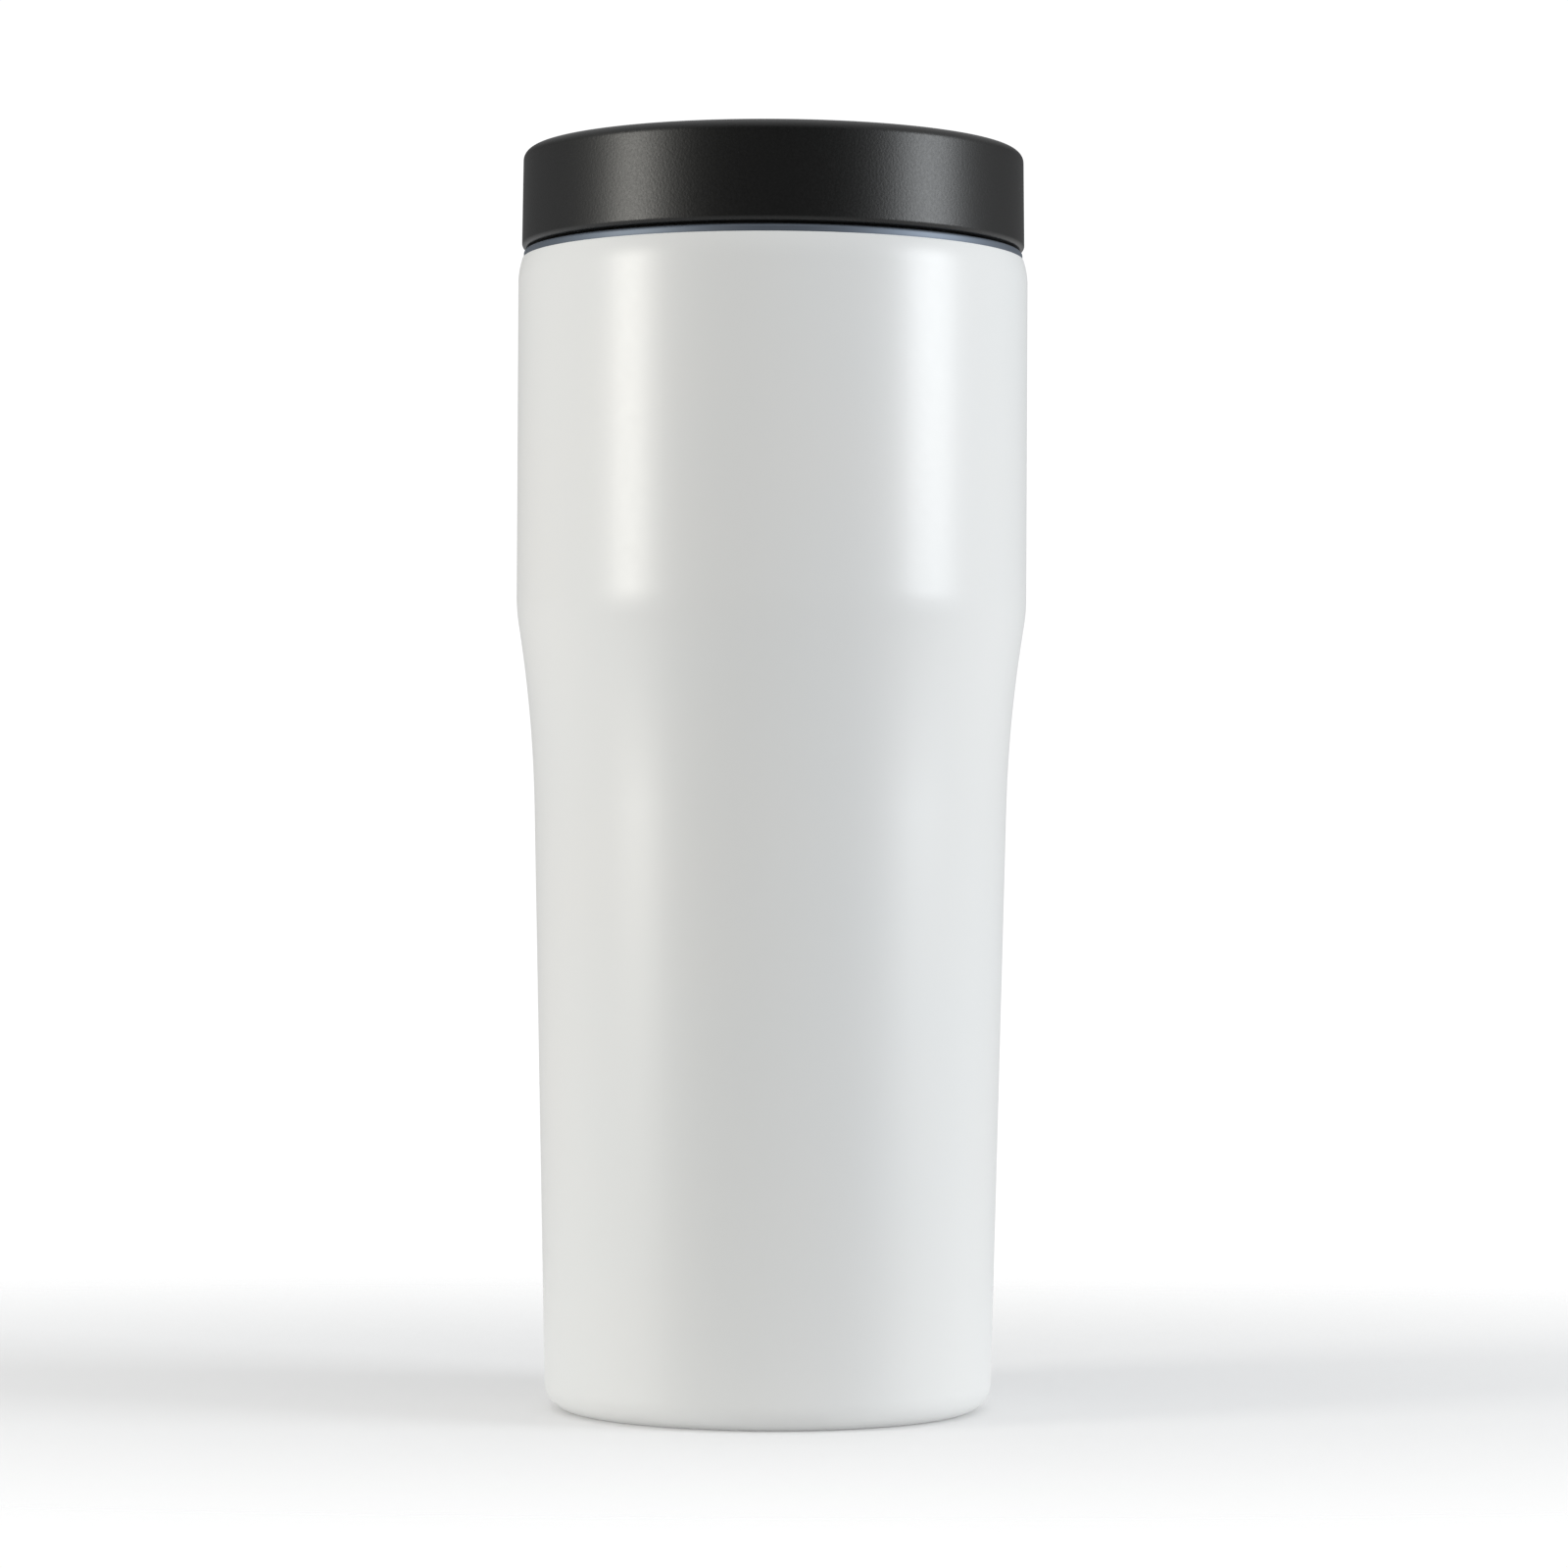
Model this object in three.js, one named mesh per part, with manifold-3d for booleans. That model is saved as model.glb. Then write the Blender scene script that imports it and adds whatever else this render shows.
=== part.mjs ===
// Insulated tumbler with a screw-on, push-button lid: a double-walled steel vessel, and a lid whose
// centre button opens a valve under a drinking well that runs all the way round.
// Millimetres, +Z up, origin at the centre of the foot, on the surface that the tumbler stands on.

import * as THREE from "three";
import { mergeVertices } from "three/addons/utils/BufferGeometryUtils.js";
import Module from "manifold-3d";

const wasm = await Module();
wasm.setup();

// ---- Driving dimensions ----

const FINE = 40; // facets of the large turned pieces
const PLAIN = 24; // facets of the smaller turned pieces
const GAP = 0.3; // clearance between neighbours that touch on the real thing

const TOTAL_H = 182.3; // foot to the top of the lid's rim
const BODY_R = 37.0; // upper, straight part of the body
const FOOT_R = 32.35; // body radius just above the foot's rounding
const FOOT_ROUND = 4.0; // radius of the rounding at the foot
const CONE_TOP_R = 34.24; // body radius where the lower cone turns into the waist curve
const CONE_TOP_Z = 87.0;
const WAIST_TOP_Z = 115.4; // crisp edge where the waist curve meets the straight part
const SHOULDER_Z = 163.0; // start of the rounding below the lip
const SHOULDER_ARC = 11.0; // radius of that rounding
const COAT_TOP_Z = 166.6; // upper edge of the coated shell
const LIP_Z = 167.7; // top of the bare steel lip
const LIP_R = 36.25; // outer radius of the lip

const SHELL_WALL = 0.7;
const LINER_WALL = 0.6;
const VACUUM = 2.6; // clear space between the two walls
const LINER_FLOOR_Z = 9.6; // inside floor of the cup
const LINER_ROUND = 7.0; // inside corner of the cup
const HEM_R = 26.5; // inner radius of the foot ring's turned-up hem
const HEM_H = 3.2;

const THREAD_R = 33.6; // liner's inside radius in the threaded neck
const SEAL_R = 32.3; // liner's inside radius where the lid's gasket seals
const NECK_FOOT_Z = 154.6; // lower end of the threaded neck
const STARTS = 4; // thread starts
const LEAD = 24.0; // rise of the lid in one turn
const RIDGE_ROOT = 1.9; // thread ridge's width at its root
const RIDGE_CREST = 0.9; // and at its crest
const LINER_RIDGE_Z = 160.4; // mid-height of a liner ridge at its lower end

const LID_FOOT_Z = LIP_Z + GAP; // lower edge of the lid
const LID_FOOT_R = 36.5;
const LID_TOP_R = 36.35;
const RIM_ROUND = 1.5; // outer rounding of the rim
const RIM_INNER_ROUND = 1.0;
const RIM_IN_R = 33.3; // inner radius of the rim, near its top
const DECK_Z = 173.2; // underside of the perforated deck
const DECK_T = 1.6;
const SKIRT_IN_R = 34.2; // inner radius of the cover's skirt
const CORE_R = 31.6; // outer radius of the plug
const CORE_IN_R = 29.2; // inner radius of the plug
const PLUG_FOOT_Z = 150.0; // underside of the valve seat
const SEAT_R = 23.0; // radius of the hole that the valve closes

const STROKE = 4.0; // travel of the button
const CATCHES = 8; // saw teeth of the push-push latch
const CUP_R = 18.3; // inner radius of the cup that the button sinks into
const CUP_FLOOR_Z = 169.4;
const CUP_FLOOR_T = 1.2;
const BUTTON_R = 17.9;
const BUTTON_TOP_Z = 180.3;
const GUIDE_R = 9.6; // inner radius of the guide tube
const GUIDE_WALL = 1.6;
const STEM_R = 3.0;
const DISC_R = 27.0; // valve disc
const DISC_Z = 145.2; // its underside

// ---- Finishes ----

const finishes = {
  whiteCoat: { color: 0xdedfdc, roughness: 0.42, metalness: 0.0 },
  steel: { color: 0xb9bcc0, roughness: 0.28, metalness: 1.0 },
  copper: { color: 0xb87349, roughness: 0.35, metalness: 1.0 },
  blackPlastic: { color: 0x1b1b1a, roughness: 0.45, metalness: 0.0 },
  greyPlastic: { color: 0x55585a, roughness: 0.5, metalness: 0.0 },
  paleAcetal: { color: 0xd8d6cf, roughness: 0.45, metalness: 0.0 },
  silicone: { color: 0x8f9294, roughness: 0.7, metalness: 0.0 },
  solderGlass: { color: 0x6d5b4a, roughness: 0.2, metalness: 0.0 },
  getterMetal: { color: 0x6a6a68, roughness: 0.8, metalness: 0.6 },
};

// ---- Shape helpers ----

const degrees = (angle) => (angle * Math.PI) / 180;
const at = (r, z) => new THREE.Vector2(r, z);

// Points of an arc in the half-plane of a turned profile, counted anticlockwise from the +r direction.
function arc(centreR, centreZ, radius, fromAngle, toAngle, steps) {
  const points = [];
  for (let i = 0; i <= steps; i += 1) {
    const angle = degrees(fromAngle + ((toAngle - fromAngle) * i) / steps);
    points.push(at(centreR + radius * Math.cos(angle), centreZ + radius * Math.sin(angle)));
  }
  return points;
}

// A closed ring whose profile runs anticlockwise and doesn't reach the axis.
function turnedRing(profile, facets) {
  const ring = new THREE.LatheGeometry([...profile, profile[0]], facets);
  return ring.rotateX(Math.PI / 2);
}

// A closed body whose profile starts and ends on the axis.
function turnedBody(profile, facets) {
  return new THREE.LatheGeometry(profile, facets).rotateX(Math.PI / 2);
}

// A bar bent round the axis. place(t, v, w) gives the angle, height and radius of a point that lies
// a share t along the bar, v up its height and w out from its inner face.
function bentBar(steps, place) {
  const bar = new THREE.BoxGeometry(1, 1, 1, steps, 1, 1);
  const points = bar.attributes.position;
  for (let i = 0; i < points.count; i += 1) {
    const spot = place(points.getX(i) + 0.5, points.getY(i) + 0.5, points.getZ(i) + 0.5);
    const angle = degrees(spot.angle);
    points.setXYZ(i, spot.r * Math.cos(angle), spot.r * Math.sin(angle), spot.z);
  }
  return bar;
}

function solid(geometry) {
  const bare = geometry.clone();
  bare.deleteAttribute("normal");
  bare.deleteAttribute("uv");
  const merged = mergeVertices(bare);
  return new wasm.Manifold(
    new wasm.Mesh({
      numProp: 3,
      vertProperties: merged.attributes.position.array,
      triVerts: new Uint32Array(merged.index.array),
    }),
  );
}

function geometryOf(manifold) {
  const mesh = manifold.getMesh();
  const geometry = new THREE.BufferGeometry();
  geometry.setAttribute("position", new THREE.BufferAttribute(new Float32Array(mesh.vertProperties), 3));
  geometry.setIndex(new THREE.BufferAttribute(new Uint32Array(mesh.triVerts), 1));
  geometry.computeVertexNormals();
  return geometry;
}

function joined(base, additions) {
  let whole = solid(base);
  for (const addition of additions) {
    whole = whole.add(solid(addition));
  }
  return geometryOf(whole);
}

function cut(base, cutters) {
  let rest = solid(base);
  for (const cutter of cutters) {
    rest = rest.subtract(solid(cutter));
  }
  return geometryOf(rest);
}

function piece(name, geometry, finish) {
  const mesh = new THREE.Mesh(geometry, new THREE.MeshStandardMaterial(finish));
  mesh.name = name;
  return mesh;
}

// ---- The body's outline ----

const taper = (CONE_TOP_R - FOOT_R) / (CONE_TOP_Z - FOOT_ROUND);
const coneAt = (z) => FOOT_R + (z - FOOT_ROUND) * taper;
const waistBend = (BODY_R - coneAt(WAIST_TOP_Z)) / (WAIST_TOP_Z - CONE_TOP_Z) ** 2;

function bodyRadius(z) {
  if (z > SHOULDER_Z) {
    return BODY_R - (z - SHOULDER_Z) ** 2 / (2 * SHOULDER_ARC);
  }
  if (z > WAIST_TOP_Z) {
    return BODY_R;
  }
  const pastCone = Math.max(z - CONE_TOP_Z, 0);
  return coneAt(z) + waistBend * pastCone ** 2;
}

// Heights where the outline needs a point, from the foot's rounding up.
function outlineHeights() {
  const heights = [FOOT_ROUND, CONE_TOP_Z];
  const waistSteps = 4;
  for (let i = 1; i <= waistSteps; i += 1) {
    heights.push(CONE_TOP_Z + ((WAIST_TOP_Z - CONE_TOP_Z) * i) / waistSteps);
  }
  heights.push(SHOULDER_Z, (SHOULDER_Z + COAT_TOP_Z) / 2, COAT_TOP_Z);
  return heights;
}

// ---- Vessel ----

function outerShell() {
  const heights = outlineHeights();
  const footCentreR = FOOT_R - FOOT_ROUND;
  const outside = heights.map((z) => at(bodyRadius(z), z));
  const inside = heights.map((z) => at(bodyRadius(z) - SHELL_WALL, z)).reverse();
  const profile = [
    at(HEM_R, 0),
    ...arc(footCentreR, FOOT_ROUND, FOOT_ROUND, -90, 0, 3).slice(0, -1),
    ...outside,
    ...inside,
    ...arc(footCentreR, FOOT_ROUND, FOOT_ROUND - SHELL_WALL, 0, -90, 3).slice(1),
    at(HEM_R + SHELL_WALL, SHELL_WALL),
    at(HEM_R + SHELL_WALL, HEM_H),
    at(HEM_R, HEM_H),
  ];
  return piece("outer_shell", turnedRing(profile, FINE), finishes.whiteCoat);
}

const linerInset = SHELL_WALL + VACUUM + LINER_WALL;
const linerRadius = (z) => Math.min(bodyRadius(z) - linerInset, SEAL_R);

function linerRidges() {
  const span = 70;
  const rootR = THREAD_R + LINER_WALL / 2;
  const crestR = SEAL_R + 0.1;
  return ridges(rootR, crestR, LINER_RIDGE_Z, 0, span);
}

// Thread ridges on a right-hand helix. The crest may lie inside the root, for a nut, or outside it.
function ridges(rootR, crestR, lowZ, fromAngle, span) {
  const bars = [];
  const innerIsRoot = rootR < crestR;
  for (let start = 0; start < STARTS; start += 1) {
    const offset = (360 / STARTS) * start;
    const place = (t, v, w) => {
      const towardsCrest = innerIsRoot ? w : 1 - w;
      const width = RIDGE_ROOT + (RIDGE_CREST - RIDGE_ROOT) * towardsCrest;
      const climb = (LEAD * (fromAngle + span * t)) / 360;
      return {
        angle: offset + fromAngle + span * t,
        z: lowZ + climb + (v - 0.5) * width,
        r: rootR + (crestR - rootR) * towardsCrest,
      };
    };
    bars.push(bentBar(8, place));
  }
  return bars;
}

function innerLiner() {
  const cornerR = linerRadius(LINER_FLOOR_Z + LINER_ROUND) - LINER_ROUND;
  const cornerZ = LINER_FLOOR_Z + LINER_ROUND;
  const outerRound = LINER_ROUND + LINER_WALL;
  const wallHeights = [CONE_TOP_Z, 95, 103, 109, 113];
  const outside = wallHeights.map((z) => at(linerRadius(z) + LINER_WALL, z));
  const inside = wallHeights.map((z) => at(linerRadius(z), z)).reverse();
  const lipFoot = COAT_TOP_Z + GAP;
  const profile = [
    at(0, LINER_FLOOR_Z - LINER_WALL),
    ...arc(cornerR, cornerZ, outerRound, -90, 0, 3),
    ...outside,
    at(SEAL_R + LINER_WALL, WAIST_TOP_Z),
    at(SEAL_R + LINER_WALL, NECK_FOOT_Z - 1),
    at(THREAD_R + LINER_WALL, NECK_FOOT_Z),
    at(THREAD_R + LINER_WALL, lipFoot),
    at(LIP_R - 0.1, lipFoot),
    at(LIP_R, (lipFoot + LIP_Z) / 2),
    at(LIP_R - 0.3, LIP_Z),
    at(THREAD_R + 0.3, LIP_Z),
    at(THREAD_R, LIP_Z - 0.3),
    at(THREAD_R, NECK_FOOT_Z),
    at(SEAL_R, NECK_FOOT_Z - 1),
    at(SEAL_R, WAIST_TOP_Z),
    ...inside,
    ...arc(cornerR, cornerZ, LINER_ROUND, 0, -90, 3),
    at(0, LINER_FLOOR_Z),
  ];
  return piece("inner_liner", joined(turnedBody(profile, FINE), linerRidges()), finishes.steel);
}

// A heat-reflecting wrap round the liner's lower cone, open at its seam.
function copperFoil() {
  const clear = 0.6;
  const thick = 0.2;
  const lowZ = 22;
  const highZ = 82;
  const outsideR = (z) => linerRadius(z) + LINER_WALL + clear + thick;
  const wrap = turnedRing(
    [
      at(outsideR(lowZ) - thick, lowZ),
      at(outsideR(lowZ), lowZ),
      at(outsideR(highZ), highZ),
      at(outsideR(highZ) - thick, highZ),
    ],
    FINE,
  );
  const seam = new THREE.BoxGeometry(10, 3, highZ - lowZ + 10);
  seam.translate(-outsideR(lowZ), 0, (lowZ + highZ) / 2);
  return piece("copper_foil", cut(wrap, [seam]), finishes.copper);
}

const portR = 1.5; // hole that the vessel is evacuated through
const dimpleZ = HEM_H - 0.6; // underside of the dimple round that hole
const baseTopZ = HEM_H + 0.9;

function shellBase() {
  const outerR = HEM_R - GAP;
  const flangeR = outerR - SHELL_WALL;
  const underZ = baseTopZ - SHELL_WALL;
  const profile = [
    at(portR, dimpleZ),
    at(5.0, dimpleZ),
    at(7.0, underZ),
    at(flangeR, underZ),
    at(flangeR, 0.9),
    at(outerR, 0.9),
    at(outerR, baseTopZ),
    at(6.8, baseTopZ),
    at(4.8, dimpleZ + SHELL_WALL),
    at(portR, dimpleZ + SHELL_WALL),
  ];
  return piece("shell_base", turnedRing(profile, PLAIN), finishes.steel);
}

function vacuumSeal() {
  const topZ = dimpleZ - GAP;
  const profile = [at(0, topZ - 0.5), at(1.7, topZ - 0.4), at(2.8, topZ), at(0, topZ)];
  return piece("vacuum_seal", turnedBody(profile, PLAIN), finishes.solderGlass);
}

function baseCap() {
  const edgeR = HEM_R - 2 * GAP - SHELL_WALL;
  const thick = 0.5;
  const rimZ = 0.7;
  const dishZ = 0.95;
  const profile = [
    at(0, dishZ),
    at(18, dishZ),
    at(20, rimZ),
    at(edgeR, rimZ),
    at(edgeR, rimZ + thick),
    at(20, rimZ + thick),
    at(18, dishZ + thick),
    at(0, dishZ + thick),
  ];
  return piece("base_cap", turnedBody(profile, PLAIN), finishes.steel);
}

const getterR = 4.0;
const getterZ = baseTopZ + 1.2;

function getter() {
  const pellet = new THREE.CylinderGeometry(getterR, getterR, 2.0, PLAIN);
  pellet.rotateX(Math.PI / 2).translate(0, 0, getterZ + 1.0);
  return piece("getter", pellet, finishes.getterMetal);
}

// A springy strip, welded to the shell's base, whose two upright tabs hold the getter.
function getterClip() {
  const strip = 0.4;
  const tabX = getterR + GAP;
  const lowZ = baseTopZ + GAP;
  const outline = new THREE.Shape([
    at(-tabX - 4, lowZ),
    at(tabX + 4, lowZ),
    at(tabX + 4, lowZ + strip),
    at(tabX + strip, lowZ + strip),
    at(tabX + strip, getterZ + 1.4),
    at(tabX, getterZ + 1.4),
    at(tabX, lowZ + strip),
    at(-tabX, lowZ + strip),
    at(-tabX, getterZ + 1.4),
    at(-tabX - strip, getterZ + 1.4),
    at(-tabX - strip, lowZ + strip),
    at(-tabX - 4, lowZ + strip),
  ]);
  const width = 4;
  const clip = new THREE.ExtrudeGeometry(outline, { depth: width, bevelEnabled: false });
  clip.rotateX(Math.PI / 2).translate(0, width / 2, 0);
  return piece("getter_clip", clip, finishes.steel);
}

// ---- Lid: fixed pieces ----

// Cover with the grip band, the rim that one drinks from and the sloping wall of the well.
function lidShell() {
  const footRound = 1.2;
  const profile = [
    at(SKIRT_IN_R, LID_FOOT_Z),
    ...arc(LID_FOOT_R - footRound, LID_FOOT_Z + footRound, footRound, -90, 0, 3),
    ...arc(LID_TOP_R - RIM_ROUND, TOTAL_H - RIM_ROUND, RIM_ROUND, 0, 90, 3),
    ...arc(RIM_IN_R + RIM_INNER_ROUND, TOTAL_H - RIM_INNER_ROUND, RIM_INNER_ROUND, 90, 180, 2),
    at(CORE_R + 2 * GAP, DECK_Z),
    at(SKIRT_IN_R, DECK_Z),
  ];
  return piece("lid_shell", turnedRing(profile, FINE), finishes.blackPlastic);
}

const grooveR = 30.4; // floor of the plug gasket's groove
const grooveZ = [PLUG_FOOT_Z + 0.9, PLUG_FOOT_Z + 4.1];
const deckGrooveR = [30.2, 32.0];

function lidCore() {
  const flangeR = SKIRT_IN_R - GAP;
  const topZ = DECK_Z - GAP;
  const deckGrooveZ = topZ - 1.3;
  const profile = [
    at(SEAT_R, PLUG_FOOT_Z),
    at(CORE_R, PLUG_FOOT_Z),
    at(CORE_R, grooveZ[0]),
    at(grooveR, grooveZ[0]),
    at(grooveR, grooveZ[1]),
    at(CORE_R, grooveZ[1]),
    at(CORE_R, LID_FOOT_Z),
    at(flangeR, LID_FOOT_Z),
    at(flangeR, topZ),
    at(deckGrooveR[1], topZ),
    at(deckGrooveR[1], deckGrooveZ),
    at(deckGrooveR[0], deckGrooveZ),
    at(deckGrooveR[0], topZ),
    at(CORE_IN_R, topZ),
    at(CORE_IN_R, PLUG_FOOT_Z + 2.6),
    at(SEAT_R, PLUG_FOOT_Z + 2.0),
  ];
  const crestR = THREAD_R - 0.35;
  const clearance = 0.4;
  const below = RIDGE_ROOT + clearance;
  const thread = ridges(CORE_R - 0.4, crestR, LINER_RIDGE_Z - below, 5, 60);
  return piece("lid_core", joined(turnedRing(profile, FINE), thread), finishes.greyPlastic);
}

// Gasket with a pair of lips that press on the liner's smooth wall below the thread.
function plugGasket() {
  const inR = grooveR + GAP;
  const lipR = SEAL_R - GAP;
  const lowZ = grooveZ[0] + GAP;
  const highZ = grooveZ[1] - GAP;
  const midZ = (lowZ + highZ) / 2;
  const profile = [
    at(inR, lowZ),
    at(lipR - 0.5, lowZ),
    at(lipR, lowZ + 0.6),
    at(lipR - 0.7, midZ),
    at(lipR, highZ - 0.6),
    at(lipR - 0.5, highZ),
    at(inR, highZ),
  ];
  return piece("plug_gasket", turnedRing(profile, FINE), finishes.silicone);
}

function deckGasket() {
  const highZ = DECK_Z - GAP;
  const lowZ = highZ - 1.0;
  const inR = deckGrooveR[0] + GAP;
  const outR = deckGrooveR[1] - GAP;
  const profile = [at(inR, lowZ), at(outR, lowZ), at(outR, highZ), at(inR, highZ)];
  return piece("deck_gasket", turnedRing(profile, FINE), finishes.silicone);
}

// Floor of the drinking well: a ring of slots, a cup for the button and the valve's guide tube.
function drinkDeck() {
  const cupWall = 1.3;
  const topZ = DECK_Z + DECK_T;
  const floorUnderZ = CUP_FLOOR_Z - CUP_FLOOR_T;
  const guideFootZ = PLUG_FOOT_Z + 0.6;
  const profile = [
    at(GUIDE_R, guideFootZ),
    at(GUIDE_R + GUIDE_WALL, guideFootZ),
    at(GUIDE_R + GUIDE_WALL, floorUnderZ),
    at(CUP_R + cupWall, floorUnderZ),
    at(CUP_R + cupWall, DECK_Z),
    at(CORE_R + GAP, DECK_Z),
    at(CORE_R + GAP, topZ),
    at(CUP_R, topZ),
    at(CUP_R, CUP_FLOOR_Z),
    at(STEM_R + 0.6, CUP_FLOOR_Z),
    at(STEM_R + 0.6, floorUnderZ),
    at(GUIDE_R, floorUnderZ),
  ];
  const slotCount = 12;
  const slotSpan = 18;
  const slotInR = 24.3;
  const slotWidth = 3.5;
  const slots = [];
  for (let i = 0; i < slotCount; i += 1) {
    const middle = (360 / slotCount) * i;
    const place = (t, v, w) => ({
      angle: middle + (t - 0.5) * slotSpan,
      z: DECK_Z - 1 + v * (DECK_T + 2),
      r: slotInR + w * slotWidth,
    });
    slots.push(bentBar(2, place));
  }
  return piece("drink_deck", cut(turnedRing(profile, FINE), slots), finishes.blackPlastic);
}

// ---- Push-push latch: fixed cam sleeve and the rotor that its saw teeth turn ----

const catchSpan = 360 / CATCHES;
const sleeveR = [5.8, GUIDE_R - GAP];
const toothTopZ = CUP_FLOOR_Z - 3.2; // where a flank starts, a stroke above where it ends
const rotorClear = 0.5; // between the sleeve's flanks and the rotor's
const rotorTopZ = toothTopZ - STROKE - rotorClear; // top of the rotor's ring, at its teeth's roots
const rotorFootZ = rotorTopZ - 2.2;

function camSleeve() {
  const topZ = CUP_FLOOR_Z - CUP_FLOOR_T - GAP;
  const bodyZ = toothTopZ + 0.3;
  const profile = [
    at(sleeveR[0], bodyZ),
    at(sleeveR[1], bodyZ),
    at(sleeveR[1], topZ),
    at(sleeveR[0], topZ),
  ];
  const relief = 0.5; // degrees between one tooth's tip and the next tooth's root
  const inset = 0.1; // the teeth stand this far inside the sleeve's own walls
  const teeth = [];
  for (let i = 0; i < CATCHES; i += 1) {
    const place = (t, v, w) => ({
      angle: catchSpan * i + (catchSpan - relief) * t,
      z: v < 0.5 ? toothTopZ - STROKE * t : bodyZ + 0.5,
      r: sleeveR[0] + inset + w * (sleeveR[1] - sleeveR[0] - 2 * inset),
    });
    teeth.push(bentBar(3, place));
  }
  return piece("cam_sleeve", joined(turnedRing(profile, PLAIN), teeth), finishes.paleAcetal);
}

function rotor() {
  const boreR = STEM_R + 0.4;
  const outR = sleeveR[1] - 0.2;
  const profile = [
    at(boreR, rotorFootZ),
    at(outR, rotorFootZ),
    at(outR, rotorTopZ),
    at(boreR, rotorTopZ),
  ];
  const sideGap = 2; // degrees between a rotor tooth's upright face and the sleeve's
  const teeth = [];
  for (let i = 0; i < CATCHES; i += 1) {
    const place = (t, v, w) => {
      const along = sideGap + (catchSpan - sideGap) * t;
      return {
        angle: catchSpan * i + along,
        z: v < 0.5 ? rotorTopZ - 0.5 : toothTopZ - rotorClear - (STROKE * along) / catchSpan,
        r: sleeveR[0] + 0.2 + w * (outR - sleeveR[0] - 0.2),
      };
    };
    teeth.push(bentBar(3, place));
  }
  return piece("rotor", joined(turnedRing(profile, PLAIN), teeth), finishes.paleAcetal);
}

// Centre line of the return spring: a helix with its ends on the cup's floor and under the button.
class SpringLine extends THREE.Curve {
  constructor(radius, lowZ, highZ, turns) {
    super();
    this.radius = radius;
    this.lowZ = lowZ;
    this.highZ = highZ;
    this.turns = turns;
  }

  getPoint(t, target = new THREE.Vector3()) {
    const angle = 2 * Math.PI * this.turns * t;
    const z = this.lowZ + (this.highZ - this.lowZ) * t;
    return target.set(this.radius * Math.cos(angle), this.radius * Math.sin(angle), z);
  }
}

const buttonUnderZ = BUTTON_TOP_Z - 2.0;
const boreTopZ = buttonUnderZ + 0.6; // blind end of the bore that the stem is pressed into

function returnSpring() {
  const wireR = 0.4;
  const turns = 4;
  const line = new SpringLine(8.2, CUP_FLOOR_Z + GAP + wireR, buttonUnderZ - GAP - wireR, turns);
  const section = new THREE.Shape(arc(0, 0, wireR, 0, 360, 6).slice(0, -1));
  const coil = new THREE.ExtrudeGeometry(section, {
    steps: turns * 12,
    extrudePath: line,
    bevelEnabled: false,
  });
  return piece("return_spring", coil, finishes.steel);
}

// ---- Seal of the guide tube's lower end ----

function sealRetainer() {
  const lowZ = PLUG_FOOT_Z + 0.9;
  const highZ = lowZ + 1.0;
  const outR = GUIDE_R - GAP;
  const boreR = STEM_R + 0.5;
  const profile = [at(boreR, lowZ), at(outR, lowZ), at(outR, highZ), at(boreR, highZ)];
  return piece("seal_retainer", turnedRing(profile, PLAIN), finishes.paleAcetal);
}

function stemSeal() {
  const lowZ = PLUG_FOOT_Z + 1.9 + GAP;
  const outR = GUIDE_R - GAP;
  const lipR = STEM_R + 0.25;
  const profile = [
    at(lipR, lowZ + 0.3),
    at(lipR + 0.8, lowZ),
    at(outR, lowZ),
    at(outR, lowZ + 1.3),
    at(lipR + 0.8, lowZ + 1.0),
    at(lipR, lowZ + 0.7),
  ];
  return piece("stem_seal", turnedRing(profile, PLAIN), finishes.silicone);
}

// ---- Lid: the pieces that go down with the button ----

function button() {
  const wall = 1.5;
  const edgeRound = 1.2;
  const bossR = 5.4;
  const boreR = STEM_R + GAP;
  const skirtFootZ = CUP_FLOOR_Z + STROKE + GAP;
  const dish = 0.8;
  const profile = [
    at(0, boreTopZ),
    at(boreR, boreTopZ),
    at(boreR, skirtFootZ),
    at(bossR, skirtFootZ),
    at(bossR, buttonUnderZ),
    at(BUTTON_R - wall, buttonUnderZ),
    at(BUTTON_R - wall, skirtFootZ),
    at(BUTTON_R, skirtFootZ),
    ...arc(BUTTON_R - edgeRound, BUTTON_TOP_Z - edgeRound, edgeRound, 0, 90, 3),
    at(10, BUTTON_TOP_Z - 0.6 * dish),
    at(0, BUTTON_TOP_Z - dish),
  ];
  return piece("button", turnedBody(profile, FINE), finishes.blackPlastic);
}

const discTopZ = DISC_Z + 2.1;
const stemNeckR = 2.0; // threaded end that goes through the disc
const stemFootZ = DISC_Z - 2.2;

function valveStem() {
  const collarR = 5.0;
  const collarTopZ = rotorFootZ - GAP;
  const collarFootZ = collarTopZ - 1.2;
  const profile = [
    at(0, stemFootZ),
    at(stemNeckR, stemFootZ),
    at(stemNeckR, discTopZ + GAP),
    at(STEM_R, discTopZ + GAP),
    at(STEM_R, collarFootZ),
    at(collarR, collarFootZ),
    at(collarR, collarTopZ),
    at(STEM_R, collarTopZ),
    at(STEM_R, boreTopZ - GAP),
    at(0, boreTopZ - GAP),
  ];
  return piece("valve_stem", turnedBody(profile, PLAIN), finishes.steel);
}

const sealRingR = [22.1, 26.0];

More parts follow.
